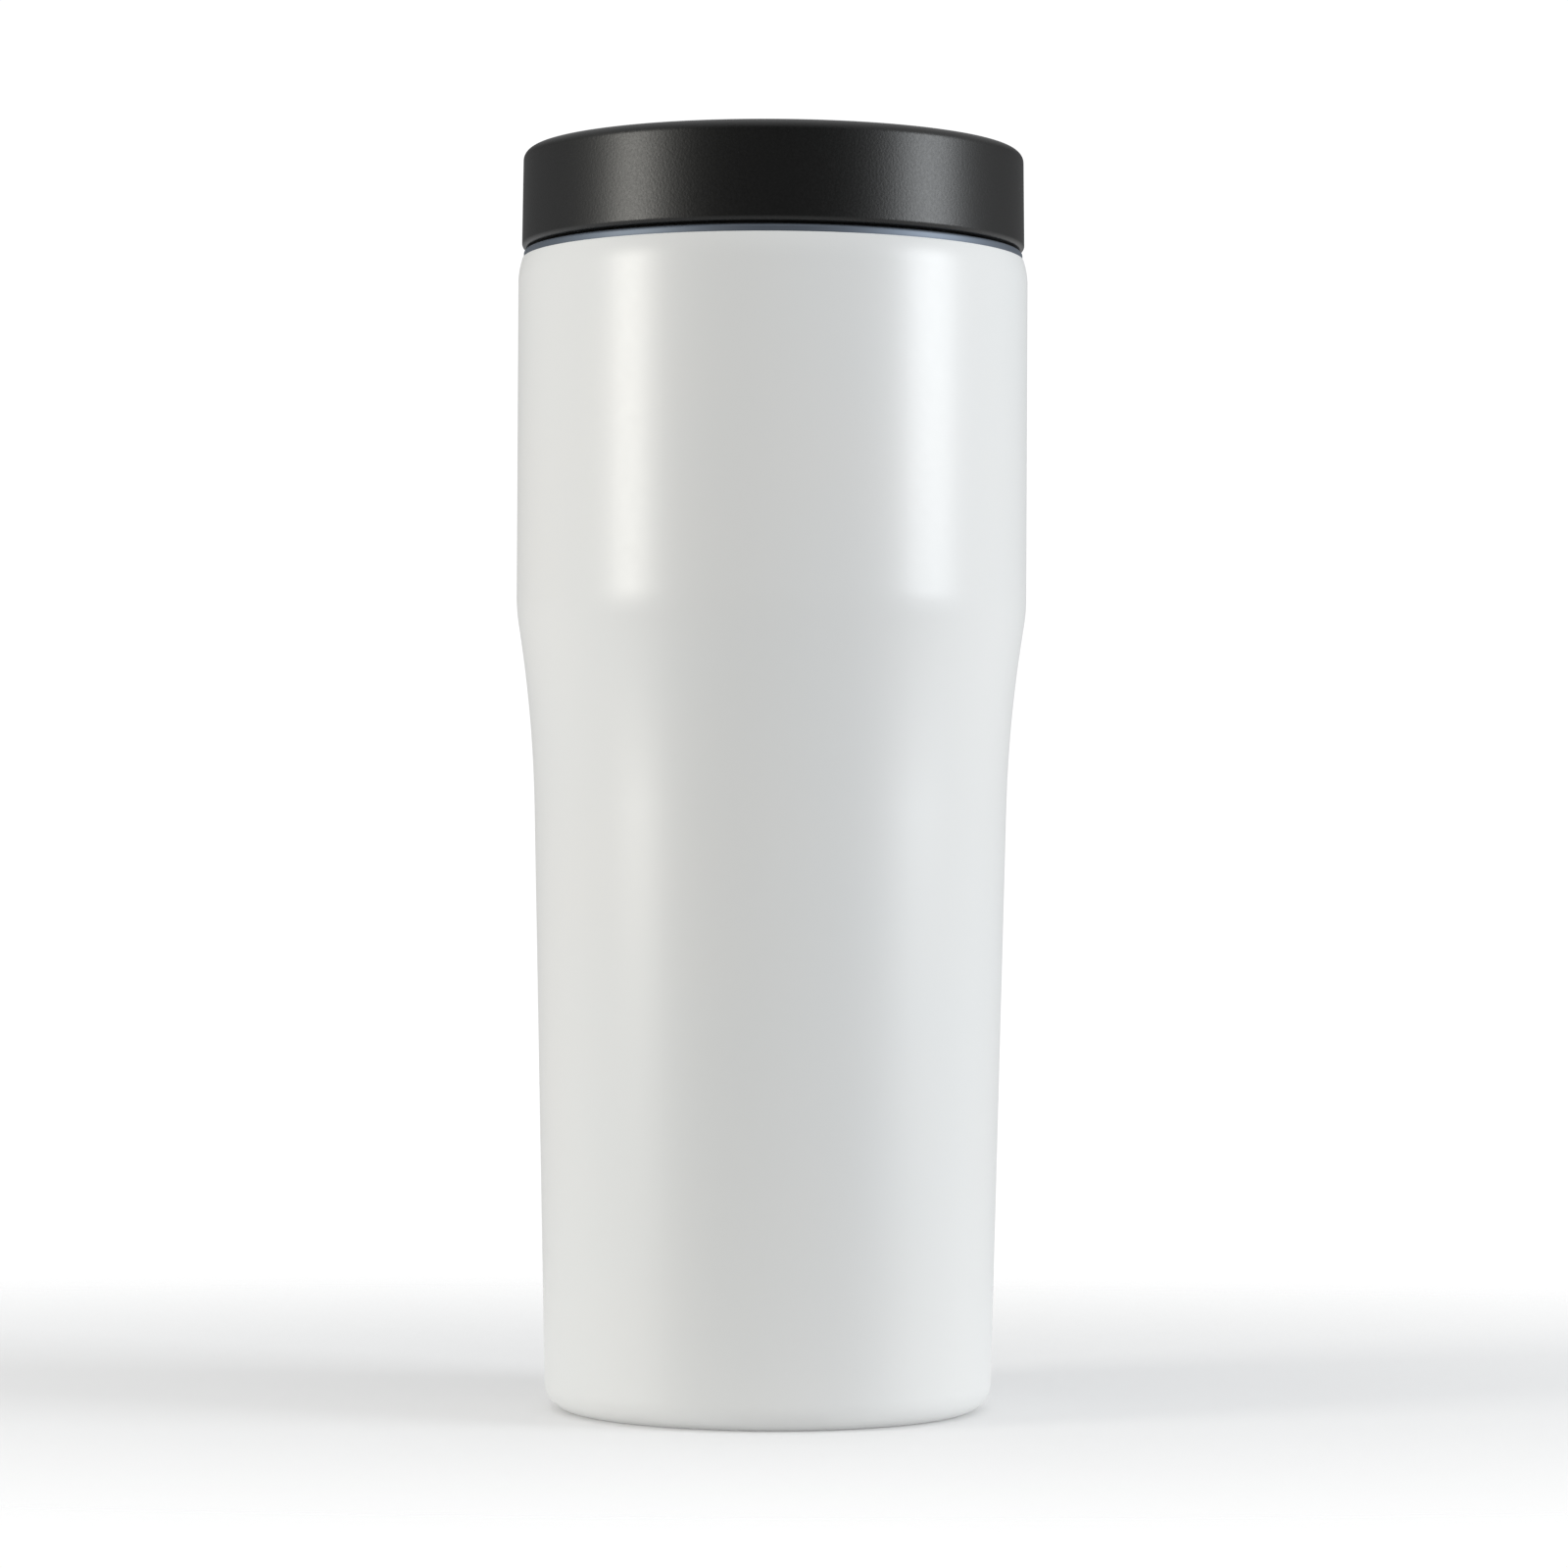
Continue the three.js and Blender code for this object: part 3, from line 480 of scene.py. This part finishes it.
clip_low, clip_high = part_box("getter_clip")
STRIP = 0.4
foot_x = clip_high.x / MM
tab_x = PELLET_R + 0.3
strip_z = clip_low.z / MM
tab_z = clip_high.z / MM
half_clip = [(foot_x, strip_z), (foot_x, strip_z + STRIP), (tab_x + STRIP, strip_z + STRIP)]
half_clip += [(tab_x + STRIP, tab_z), (tab_x, tab_z), (tab_x, strip_z + STRIP)]
clip_edge = half_clip + [(-x, z) for x, z in reversed(half_clip)]
clip = bmesh.new()
strip_face = clip.faces.new([clip.verts.new((x * MM, clip_low.y, z * MM)) for x, z in clip_edge])
grown = bmesh.ops.extrude_face_region(clip, geom=[strip_face])["geom"]
bmesh.ops.translate(clip, verts=[v for v in grown if isinstance(v, bmesh.types.BMVert)],
                    vec=(0, clip_high.y - clip_low.y, 0))
bmesh.ops.recalc_face_normals(clip, faces=clip.faces)
bmesh.ops.bevel(clip, geom=clip.edges[:], offset=0.08 * MM, segments=2, profile=0.5, affect="EDGES",
                material=-1)
made("getter_spring_clip", clip, [stainless], "vessel", "getter_clip")

# ---- Lid cover ----
# Injection-moulded black polypropylene: the smooth grip band, the rounded rim that one drinks from,
# and the sloping wall of the well. It is welded to the plug below it.


def black_satin_polypropylene():
    # Black polypropylene from a tool with a fine spark-eroded surface: a deep black with a broad, soft
    # sheen. The texture is drawn 0.35 mm across, coarser than the real one, so that it shows.
    material, tree, shader = surface("black_satin_polypropylene", "080808", 0.0, 0.38)
    tint(tree, shader, grain(tree, 6), "060606", "0A0A09")
    roughen(tree, shader, grain(tree, 0.35, 1.0), 0.33, 0.43, 0.03, 0.6)
    return material


black_plastic = black_satin_polypropylene()
cover_low, cover_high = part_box("lid_shell")
COVER_FOOT_Z = cover_low.z / MM
COVER_FOOT_R = cover_high.x / MM
RIM_Z = cover_high.z / MM
RIM_R = 36.35
RIM_IN_R = 33.3
WELL_FLOOR_R = 32.2
SKIRT_IN_R = 34.2
DECK_Z = 173.2
SKIRT_ROUND = 0.8
RIM_ROUND = 1.5
RIM_IN_ROUND = 1.0
cover_outline = [(SKIRT_IN_R, COVER_FOOT_Z, 0.25)]
cover_outline += arc(COVER_FOOT_R - SKIRT_ROUND, COVER_FOOT_Z + SKIRT_ROUND, SKIRT_ROUND, -90, 0, 10)
cover_outline += arc(RIM_R - RIM_ROUND, RIM_Z - RIM_ROUND, RIM_ROUND, 0, 90, 12)
cover_outline += arc(RIM_IN_R + RIM_IN_ROUND, RIM_Z - RIM_IN_ROUND, RIM_IN_ROUND, 90, 175, 10)
cover_outline += [(WELL_FLOOR_R, DECK_Z), (SKIRT_IN_R, DECK_Z)]
made("lid_cover", turned(cover_outline, 256), [black_plastic], "lid", "lid_shell")

# ---- Lid plug ----
# Grey polypropylene, welded up into the cover: the tube that screws into the vessel's neck, with the
# gasket's groove near its foot and, at its lower edge, the seat that the valve closes against.

CORE_R = 31.6
CORE_IN_R = 29.2
PLUG_FOOT_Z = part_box("lid_core")[0].z / MM
PLUG_TOP_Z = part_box("lid_core")[1].z / MM
FLANGE_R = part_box("lid_core")[1].x / MM
PLUG_THREAD_Z = 158.1
PLUG_THREAD_SPAN = 60
SEAT_R = 23.0
SEAT_Z = 152.0
GROOVE_R = 30.4
GROOVE_Z = (150.9, 154.1)
RING_GROOVE_R = (30.2, 32.0)
RING_GROOVE_Z = 171.6


def grey_moulded_polypropylene():
    # Food-grade grey polypropylene, smooth from the tool: satin, slightly waxy, with faint flow marks.
    material, tree, shader = surface("grey_moulded_polypropylene", "777A7D", 0.0, 0.38)
    tint(tree, shader, grain(tree, 14, 2.0, (1, 1, 0.35)), "717477", "7D8083")
    roughen(tree, shader, grain(tree, 0.6, 1.0), 0.33, 0.45, 0.02, 0.2)
    return material


grey_plastic = grey_moulded_polypropylene()
plug_outline = [(SEAT_R, PLUG_FOOT_Z, 0.3), (CORE_R, PLUG_FOOT_Z, 0.4), (CORE_R, GROOVE_Z[0], 0.15)]
plug_outline += [(GROOVE_R, GROOVE_Z[0], 0.15), (GROOVE_R, GROOVE_Z[1], 0.15), (CORE_R, GROOVE_Z[1], 0.15)]
plug_outline += [(CORE_R, COVER_FOOT_Z, 0.3), (FLANGE_R, COVER_FOOT_Z, 0.2), (FLANGE_R, PLUG_TOP_Z, 0.2)]
plug_outline += [(RING_GROOVE_R[1], PLUG_TOP_Z, 0.1), (RING_GROOVE_R[1], RING_GROOVE_Z, 0.1)]
plug_outline += [(RING_GROOVE_R[0], RING_GROOVE_Z, 0.1), (RING_GROOVE_R[0], PLUG_TOP_Z, 0.1)]
plug_outline += [(CORE_IN_R, PLUG_TOP_Z, 0.3), (CORE_IN_R, SEAT_Z + 0.6, 0.5), (SEAT_R, SEAT_Z, 0.3)]
plug = turned(plug_outline)
add_thread(plug, CORE_R - 0.4, THREAD_R - 0.35, PLUG_THREAD_Z, 5, PLUG_THREAD_SPAN)
bmesh.ops.recalc_face_normals(plug, faces=plug.faces)
made("lid_plug", plug, [grey_plastic], "lid", "lid_core")

# ---- Gaskets ----
# Moulded silicone rubber. The plug's gasket has two thin lips that wipe the smooth band of the neck;
# a plain ring is squeezed between the plug and the deck.


def clear_grey_silicone():
    # Silicone rubber, peroxide-cured: milky grey, soft-looking, with a slightly dusty surface.
    material, tree, shader = surface("clear_grey_silicone", "C6C9CA", 0.0, 0.45, IOR=1.41,
                                     Subsurface_Weight=0.2, Subsurface_Scale=1.5 * MM)
    tint(tree, shader, grain(tree, 5), "BFC2C3", "CDD0D0")
    roughen(tree, shader, grain(tree, 0.3), 0.38, 0.55, 0.01, 0.2)
    return material


silicone = clear_grey_silicone()
WIPER_LIP_R = 32.0
WIPER_BACK_R = GROOVE_R + 0.3
WIPER_Z = (GROOVE_Z[0] + 0.3, GROOVE_Z[1] - 0.3)
wiper_outline = [(WIPER_BACK_R, WIPER_Z[0], 0.15), (31.5, WIPER_Z[0], 0.2)]
wiper_outline += [(WIPER_LIP_R, WIPER_Z[0] + 0.6, 0.2), (31.3, sum(WIPER_Z) / 2, 0.3)]
wiper_outline += [(WIPER_LIP_R, WIPER_Z[1] - 0.6, 0.2), (31.5, WIPER_Z[1], 0.2)]
wiper_outline += [(WIPER_BACK_R, WIPER_Z[1], 0.15)]
made("neck_gasket", turned(wiper_outline), [silicone], "lid_carrier", "plug_gasket")
ring_in_r = RING_GROOVE_R[0] + 0.3
ring_out_r = RING_GROOVE_R[1] - 0.3
ring_foot_z = RING_GROOVE_Z + 0.3
ring_top_z = DECK_Z - 0.3
ring_outline = [(ring_in_r, ring_foot_z, 0.2), (ring_out_r, ring_foot_z, 0.2)]
ring_outline += [(ring_out_r, ring_top_z, 0.2), (ring_in_r, ring_top_z, 0.2)]
made("deck_ring", turned(ring_outline), [silicone], "lid", "deck_gasket")

# ---- Drinking deck ----
# The black floor of the well, moulded in one with the cup that the button sits in and the tube that
# guides the valve. The drink comes up through twelve slots with round ends.

DECK_TOP_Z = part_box("drink_deck")[1].z / MM
DECK_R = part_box("drink_deck")[1].x / MM
BUTTON_CUP_R = 18.3
BUTTON_CUP_WALL = 1.3
BUTTON_CUP_Z = 169.4
BUTTON_CUP_T = 1.2
GUIDE_R = 9.6
GUIDE_WALL = 1.6
GUIDE_FOOT_Z = 150.6
STEM_HOLE_R = 3.6
SLOTS = 12
SLOT_HALF = 9
SLOT_IN_R = 24.3
SLOT_OUT_R = 27.8
END_STEPS = 4
guide_out_r = GUIDE_R + GUIDE_WALL
button_cup_out_r = BUTTON_CUP_R + BUTTON_CUP_WALL
button_cup_foot_z = BUTTON_CUP_Z - BUTTON_CUP_T
deck_outline = [(GUIDE_R, GUIDE_FOOT_Z, 0.15), (guide_out_r, GUIDE_FOOT_Z, 0.3)]
deck_outline += [(guide_out_r, button_cup_foot_z, 0.8), (button_cup_out_r, button_cup_foot_z, 0.6)]
deck_outline += [(button_cup_out_r, DECK_Z, 0.6), (SLOT_IN_R, DECK_Z), (SLOT_OUT_R, DECK_Z)]
deck_outline += [(DECK_R, DECK_Z), (DECK_R, DECK_TOP_Z), (SLOT_OUT_R, DECK_TOP_Z), (SLOT_IN_R, DECK_TOP_Z)]
deck_outline += [(BUTTON_CUP_R, DECK_TOP_Z, 0.5), (BUTTON_CUP_R, BUTTON_CUP_Z, 0.5)]
deck_outline += [(STEM_HOLE_R, BUTTON_CUP_Z, 0.2), (STEM_HOLE_R, button_cup_foot_z, 0.2)]
deck_outline += [(GUIDE_R, button_cup_foot_z)]
deck = turned(deck_outline, 360)
slot_mid_r = (SLOT_IN_R + SLOT_OUT_R) / 2
end_r = (SLOT_OUT_R - SLOT_IN_R) / 2
for slot in range(SLOTS):
    middle = Matrix.Rotation(2 * math.pi / SLOTS * slot, 3, "Z")
    opened = []
    for face in deck.faces:
        spot = middle.transposed() @ face.calc_center_median()
        off_middle = abs(math.degrees(math.atan2(spot.y, spot.x)))
        if SLOT_IN_R < spot.xy.length / MM < SLOT_OUT_R and off_middle < SLOT_HALF:
            opened.append(face)
    bmesh.ops.delete(deck, geom=opened, context="FACES")
    edge = [e for e in deck.edges if e.is_boundary]
    # The slot's last few degrees at each end are drawn in to a half circle.
    for v in {v for e in edge for v in e.verts}:
        spot = middle.transposed() @ v.co
        angle = math.degrees(math.atan2(spot.y, spot.x))
        step = round(SLOT_HALF - abs(angle))
        if step < END_STEPS:
            bow = math.radians(90 / END_STEPS * step)
            reach = math.radians(SLOT_HALF) - (end_r - end_r * math.cos(bow)) / slot_mid_r
            radius = slot_mid_r + math.copysign(end_r * math.sin(bow), spot.xy.length / MM - slot_mid_r)
            spot.x = radius * MM * math.cos(reach)
            spot.y = radius * MM * math.sin(math.copysign(reach, angle))
            v.co = middle @ spot
    bmesh.ops.bridge_loops(deck, edges=edge)
bmesh.ops.remove_doubles(deck, verts=deck.verts, dist=1e-6)
bmesh.ops.recalc_face_normals(deck, faces=deck.faces)
made("drinking_deck", deck, [black_plastic], "lid", "drink_deck")

# ---- Push-push latch ----
# Two small acetal rings in the guide tube: a fixed sleeve with eight saw teeth, and a rotor on the
# stem whose teeth slide down the sleeve's flanks, so that it turns one catch at each press.

CATCH = 45
LATCH_STEPS = 192
CATCH_STEPS = LATCH_STEPS // (360 // CATCH)
TOOTH_H = 4.0
SLEEVE_TIP_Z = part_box("cam_sleeve")[0].z / MM
SLEEVE_EDGE_Z = 165.0
SLEEVE_R = GUIDE_R - 0.3
SLEEVE_IN_R = 5.8
# A rotor tooth's tip falls between two of the ring's steps, this much above the higher one.
TIP_MISSED = 0.17
ROTOR_TIP_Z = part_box("rotor")[1].z / MM + TIP_MISSED
ROTOR_EDGE_Z = 163.0
ROTOR_IN_R = 3.4


def natural_acetal():
    # Acetal, undyed: warm white, hard and slightly glossy, with the waviness of a small moulding.
    material, tree, shader = surface("natural_acetal", "E4E1D8", 0.0, 0.3, IOR=1.48)
    tint(tree, shader, grain(tree, 4), "DEDBD1", "EAE7DF")
    roughen(tree, shader, grain(tree, 0.8, 1.0), 0.25, 0.38, 0.02, 0.2)
    return material


def saw_teeth(bm, toothed_z, height_at):
    """Lifts a ring's vertices that lie at one height to a saw edge, given by the share of a catch."""
    for v in bm.verts:
        if abs(v.co.z / MM - toothed_z) < 0.01:
            step = round(math.degrees(math.atan2(v.co.y, v.co.x)) % 360 / 360 * LATCH_STEPS)
            v.co.z = height_at(step % CATCH_STEPS / CATCH_STEPS) * MM


acetal = natural_acetal()
sleeve_top_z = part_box("cam_sleeve")[1].z / MM
sleeve_outline = [(SLEEVE_IN_R, SLEEVE_EDGE_Z), (SLEEVE_R, SLEEVE_EDGE_Z), (SLEEVE_R, sleeve_top_z, 0.2)]
sleeve_outline += [(SLEEVE_IN_R, sleeve_top_z, 0.2)]
sleeve = turned(sleeve_outline, LATCH_STEPS)
saw_teeth(sleeve, SLEEVE_EDGE_Z, lambda share: SLEEVE_TIP_Z + TOOTH_H * (1 - share))
made("latch_sleeve", sleeve, [acetal], "lid", "cam_sleeve")

rotor_foot_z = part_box("rotor")[0].z / MM
rotor_floor_z = ROTOR_EDGE_Z - 1.3
rotor_outline = [(ROTOR_IN_R, rotor_foot_z, 0.2), (9.1, rotor_foot_z, 0.2), (9.1, ROTOR_EDGE_Z)]
rotor_outline += [(6.0, ROTOR_EDGE_Z), (6.0, rotor_floor_z), (ROTOR_IN_R, rotor_floor_z, 0.2)]
rotor = turned(rotor_outline, LATCH_STEPS)
saw_teeth(rotor, ROTOR_EDGE_Z, lambda share: ROTOR_TIP_Z - TOOTH_H * (share if share else 1))
made("latch_rotor_ring", rotor, [acetal], "latch_rotor", "rotor")

# ---- Return spring ----
# Drawn stainless wire, coiled round the latch between the button's cup and the button: four turns
# that lift the valve shut again.

WIRE_R = 0.4
COIL_R = 8.2
TURNS = 4
spring_low, spring_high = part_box("return_spring")


def drawn_spring_wire():
    # Spring-temper stainless wire: a smoky steel with draw marks 0.2 mm apart along it.
    material, tree, shader = surface("drawn_spring_wire", "A3A6AA", 1.0, 0.3)
    tint(tree, shader, grain(tree, 2.5), "959A9F", "AEB1B4")
    roughen(tree, shader, grain(tree, 0.2, 2.0, (0.2, 0.2, 1)), 0.22, 0.38, 0.02, 0.3)
    return material


coil = bmesh.new()
wire_z = spring_low.z / MM + WIRE_R
climb = (spring_high.z - spring_low.z) / MM - 2 * WIRE_R
wire = arc(COIL_R, wire_z, WIRE_R, 0, 360, 12)[:-1]
sweep(coil, wire, 0, 360 * TURNS, 48 * TURNS, climb)
bmesh.ops.recalc_face_normals(coil, faces=coil.faces)
spring = made("button_spring", coil, [drawn_spring_wire()], "lid", "return_spring")
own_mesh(spring)

# ---- Stem seal ----
# A silicone lip seal in the foot of the guide tube wipes the stem and keeps the drink out of the
# latch; a pressed-in acetal washer holds it.

WASHER_IN_R = 3.5
washer_low, washer_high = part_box("seal_retainer")
washer_outline = [(WASHER_IN_R, washer_low.z / MM, 0.15), (washer_high.x / MM, washer_low.z / MM, 0.15)]
washer_outline += [(washer_high.x / MM, washer_high.z / MM, 0.1), (WASHER_IN_R, washer_high.z / MM, 0.1)]
made("seal_washer", turned(washer_outline, 96), [acetal], "lid", "seal_retainer")

SEAL_LIP_R = 3.25
SEAL_NECK_R = 4.05
SEAL_OUT_R = GUIDE_R - 0.3
lip_seal_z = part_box("stem_seal")[0].z / MM
lip_seal_outline = [(SEAL_LIP_R, lip_seal_z + 0.5, 0.1), (SEAL_NECK_R, lip_seal_z, 0.1)]
lip_seal_outline += [(SEAL_OUT_R, lip_seal_z, 0.2), (SEAL_OUT_R, lip_seal_z + 1.3, 0.2)]
lip_seal_outline += [(SEAL_NECK_R, lip_seal_z + 1.0, 0.1)]
made("stem_lip_seal", turned(lip_seal_outline, 96), [silicone], "lid", "stem_seal")

# ---- Button ----
# The black button in the middle of the well, dished for a fingertip, with a rounded edge. Its boss is
# pressed on the stem.

button_low, button_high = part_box("button")
BUTTON_R = button_high.x / MM
BUTTON_Z = button_high.z / MM
BUTTON_FOOT_Z = button_low.z / MM
BUTTON_T = 2.0
BUTTON_WALL = 1.5
BOSS_IN_R = 3.3
BOSS_R = 5.4
EDGE = 1.2
DISH = 0.8
dish_r = BUTTON_R - EDGE
under_z = BUTTON_Z - BUTTON_T
button_outline = [(0, under_z + 0.6), (BOSS_IN_R, under_z + 0.6), (BOSS_IN_R, BUTTON_FOOT_Z, 0.15)]
button_outline += [(BOSS_R, BUTTON_FOOT_Z, 0.2), (BOSS_R, under_z, 0.3)]
button_outline += [(BUTTON_R - BUTTON_WALL, under_z, 0.4), (BUTTON_R - BUTTON_WALL, BUTTON_FOOT_Z, 0.2)]
button_outline += [(BUTTON_R, BUTTON_FOOT_Z, 0.3)]
button_outline += arc(dish_r, BUTTON_Z - EDGE, EDGE, 0, 90, 10)
button_outline += [(r, BUTTON_Z - DISH * (1 - (r / dish_r) ** 2)) for r in evenly(dish_r - 0.6, 0, 12)]
made("push_button", turned(button_outline), [black_plastic], "valve", "button")

# ---- Valve ----
# A turned stainless stem carries a grey polypropylene disc on its threaded end, with a cap nut under
# it. A silicone ring on the disc closes against the plug's seat.

stem_low, stem_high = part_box("valve_stem")
stem_foot_z = stem_low.z / MM
stem_top_z = stem_high.z / MM
SHANK_R = 2.0
ROD_R = 3.0
COLLAR_R = 5.0
COLLAR_Z = (158.0, 159.2)
DISC_R = 27.0
DISC_Z = 145.2
DISC_TOP_Z = DISC_Z + 2.1
DISC_RIM_Z = 148.7
DISC_HOLE_R = 2.3
RING_SEAT_R = (21.8, 26.3)
step_z = DISC_TOP_Z + 0.3
stem_outline = [(0, stem_foot_z), (SHANK_R, stem_foot_z, 0.3), (SHANK_R, step_z), (ROD_R, step_z, 0.15)]
stem_outline += [(ROD_R, COLLAR_Z[0]), (COLLAR_R, COLLAR_Z[0], 0.2), (COLLAR_R, COLLAR_Z[1], 0.2)]
stem_outline += [(ROD_R, COLLAR_Z[1]), (ROD_R, stem_top_z, 0.4), (0, stem_top_z)]
made("stem_rod", turned(stem_outline, 96), [stainless], "valve", "valve_stem")

disc_outline = [(DISC_HOLE_R, DISC_Z, 0.2), (DISC_R - 1, DISC_Z, 0.3), (DISC_R, DISC_Z + 1, 0.3)]
disc_outline += [(DISC_R, DISC_RIM_Z, 0.2), (RING_SEAT_R[1], DISC_RIM_Z, 0.2)]
disc_outline += [(RING_SEAT_R[1], DISC_TOP_Z, 0.1), (RING_SEAT_R[0], DISC_TOP_Z, 0.1)]
disc_outline += [(RING_SEAT_R[0], DISC_RIM_Z, 0.2), (20.9, DISC_RIM_Z, 0.2), (20.9, DISC_TOP_Z, 0.4)]
disc_outline += [(DISC_HOLE_R, DISC_TOP_Z, 0.2)]
made("valve_plate", turned(disc_outline), [grey_plastic], "valve", "valve_disc")

face_low, face_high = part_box("valve_seal")
seal_low_z = face_low.z / MM
seal_high_z = face_high.z / MM
seal_in_r = RING_SEAT_R[0] + 0.3
seal_out_r = RING_SEAT_R[1] - 0.3
seal_side_z = seal_high_z - 0.7
seal_outline = [(seal_in_r, seal_low_z, 0.15), (seal_out_r, seal_low_z, 0.15), (seal_out_r, seal_side_z, 0.3)]
seal_outline += [(24.65, seal_high_z, 0.4), (23.45, seal_high_z, 0.4), (seal_in_r, seal_side_z, 0.3)]
made("valve_face_ring", turned(seal_outline), [silicone], "valve", "valve_seal")

NUT_R = 4.5
NUT_BORE_R = 2.7
nut_low, nut_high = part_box("valve_nut")
nut_foot_z = nut_low.z / MM
nut_top_z = nut_high.z / MM
nut_bore_z = nut_foot_z + 1.4
nut_outline = [(0, nut_foot_z), (3.0, nut_foot_z, 0.4), (NUT_R, nut_foot_z + 1.0, 0.2)]
nut_outline += [(NUT_R, nut_top_z, 0.15), (NUT_BORE_R, nut_top_z), (NUT_BORE_R, nut_bore_z), (0, nut_bore_z)]
nut = turned(nut_outline, 6)
flats = Matrix.Rotation(math.radians(30), 3, "Z")
bmesh.ops.rotate(nut, verts=nut.verts, cent=(0, 0, 0), matrix=flats)
made("cap_nut", nut, [stainless], "valve", "valve_nut")

# ---- Studio ----
# A matt white table that fades out before its edge, a white room that glows softly from all round
# but less from behind the camera, and two soft lights that stand to the left and the right.


def matt_white_table():
    # Matt white laminate. It fades to clear away from the object, so that no horizon shows, in an oval
    # twice as wide as it is deep.
    material, tree, shader = surface("matt_white_table", "F2F2F2", 0.0, 0.7)
    place = add_node(tree, "ShaderNodeTexCoord").outputs["Object"]
    wide = add_node(tree, "ShaderNodeVectorMath", {0: place, 1: (0.5, 1, 1)}, operation="MULTIPLY")
    middle = (0, 0.04, 0)
    away = add_node(tree, "ShaderNodeVectorMath", {0: wide.outputs[0], 1: middle}, operation="DISTANCE")
    fade = add_node(tree, "ShaderNodeMapRange", {"Value": away.outputs["Value"], "From Max": 0.24},
                    interpolation_type="SMOOTHSTEP").outputs["Result"]
    clear = add_node(tree, "ShaderNodeBsdfTransparent").outputs["BSDF"]
    mixed = add_node(tree, "ShaderNodeMixShader", {0: fade, 1: shader.outputs["BSDF"], 2: clear})
    tree.links.new(mixed.outputs["Shader"], tree.nodes["Material Output"].inputs["Surface"])
    return material


TABLE_R = 1.2
top = bmesh.new()
bmesh.ops.create_circle(top, cap_ends=True, segments=96, radius=TABLE_R)
table_mesh = bpy.data.meshes.new("table_top")
top.to_mesh(table_mesh)
top.free()
table_mesh.materials.append(matt_white_table())
table = bpy.data.objects.new("table_top", table_mesh)
bpy.context.scene.collection.objects.link(table)

room = bpy.data.worlds.new("white_room")
bpy.context.scene.world = room
room.use_nodes = True
room.node_tree.nodes.clear()
seen = add_node(room.node_tree, "ShaderNodeBackground", {"Color": (1, 1, 1, 1), "Strength": 1.05})
direction = add_node(room.node_tree, "ShaderNodeTexCoord").outputs["Generated"]
facing = add_node(room.node_tree, "ShaderNodeSeparateXYZ", {"Vector": direction}).outputs
# The room's glow: the axis along which it grows, where it starts, where it is full, and how strong.
# In turn, from below, above, behind the object, the left and the right.
GLOWS = [("Z", 0.1, -0.4, 0.76), ("Z", 0.3, 1.0, 1.3), ("Y", 0.3, 0.9, 0.2), ("X", -0.6, -1.0, 0.32),
         ("X", 0.6, 1.0, 0.35)]
glow = 0.0
for axis, start, full, power in GLOWS:
    part = add_node(room.node_tree, "ShaderNodeMapRange", {"Value": facing[axis], "From Min": start,
                                                           "From Max": full, "To Max": power})
    glow = add_node(room.node_tree, "ShaderNodeMath", {0: part.outputs[0], 1: glow}).outputs[0]
dimmed = add_node(room.node_tree, "ShaderNodeMapRange", {"Value": facing["Y"], "From Min": -1.0,
                                                         "From Max": 0.0, "To Min": 0.75}).outputs[0]
glow = add_node(room.node_tree, "ShaderNodeMath", {0: dimmed, 1: glow}, operation="MULTIPLY").outputs[0]
lit = add_node(room.node_tree, "ShaderNodeBackground", {"Color": srgb("FAFBFC"), "Strength": glow})
ray = add_node(room.node_tree, "ShaderNodeLightPath")
pick = add_node(room.node_tree, "ShaderNodeMixShader", {0: ray.outputs["Is Camera Ray"], 1: lit.outputs[0],
                                                        2: seen.outputs[0]})
add_node(room.node_tree, "ShaderNodeOutputWorld", {"Surface": pick.outputs[0]})


def soft_light(name, azimuth, distance, low, high, width, power, colour):
    """A rectangular soft light that faces the object, its lower and upper edges at two heights."""
    lamp = bpy.data.lights.new(name, "AREA")
    lamp.shape = "RECTANGLE"
    lamp.size = width
    lamp.size_y = high - low
    lamp.energy = power
    lamp.color = srgb(colour)[:3]
    light = bpy.data.objects.new(name, lamp)
    angle = math.radians(azimuth)
    light.location = (distance * math.sin(angle), -distance * math.cos(angle), (low + high) / 2)
    light.rotation_euler = (math.radians(90), 0, angle)
    bpy.context.scene.collection.objects.link(light)


soft_light("left_strip", -65.0, 1.0, 0.08, 0.48, 0.29, 4.3, "FFFDF6")
soft_light("right_strip", 73.0, 1.0, 0.13, 0.55, 0.42, 5.5, "F8FCFF")

bpy.context.scene.view_settings.view_transform = "Standard"

CAMERA_AT = Vector((0, -0.722, 0.082))
LOOKS_AT = Vector((0.00195, 0, 0.09055))
lens = bpy.data.cameras.new("camera")
lens.lens = 114.05
lens.sensor_width = 36
camera = bpy.data.objects.new("camera", lens)
bpy.context.scene.collection.objects.link(camera)
bpy.context.scene.camera = camera
camera.location = CAMERA_AT
camera.rotation_euler = (LOOKS_AT - CAMERA_AT).to_track_quat("-Z", "Y").to_euler()
camera.rotation_euler.rotate_axis("Z", math.radians(0.28))
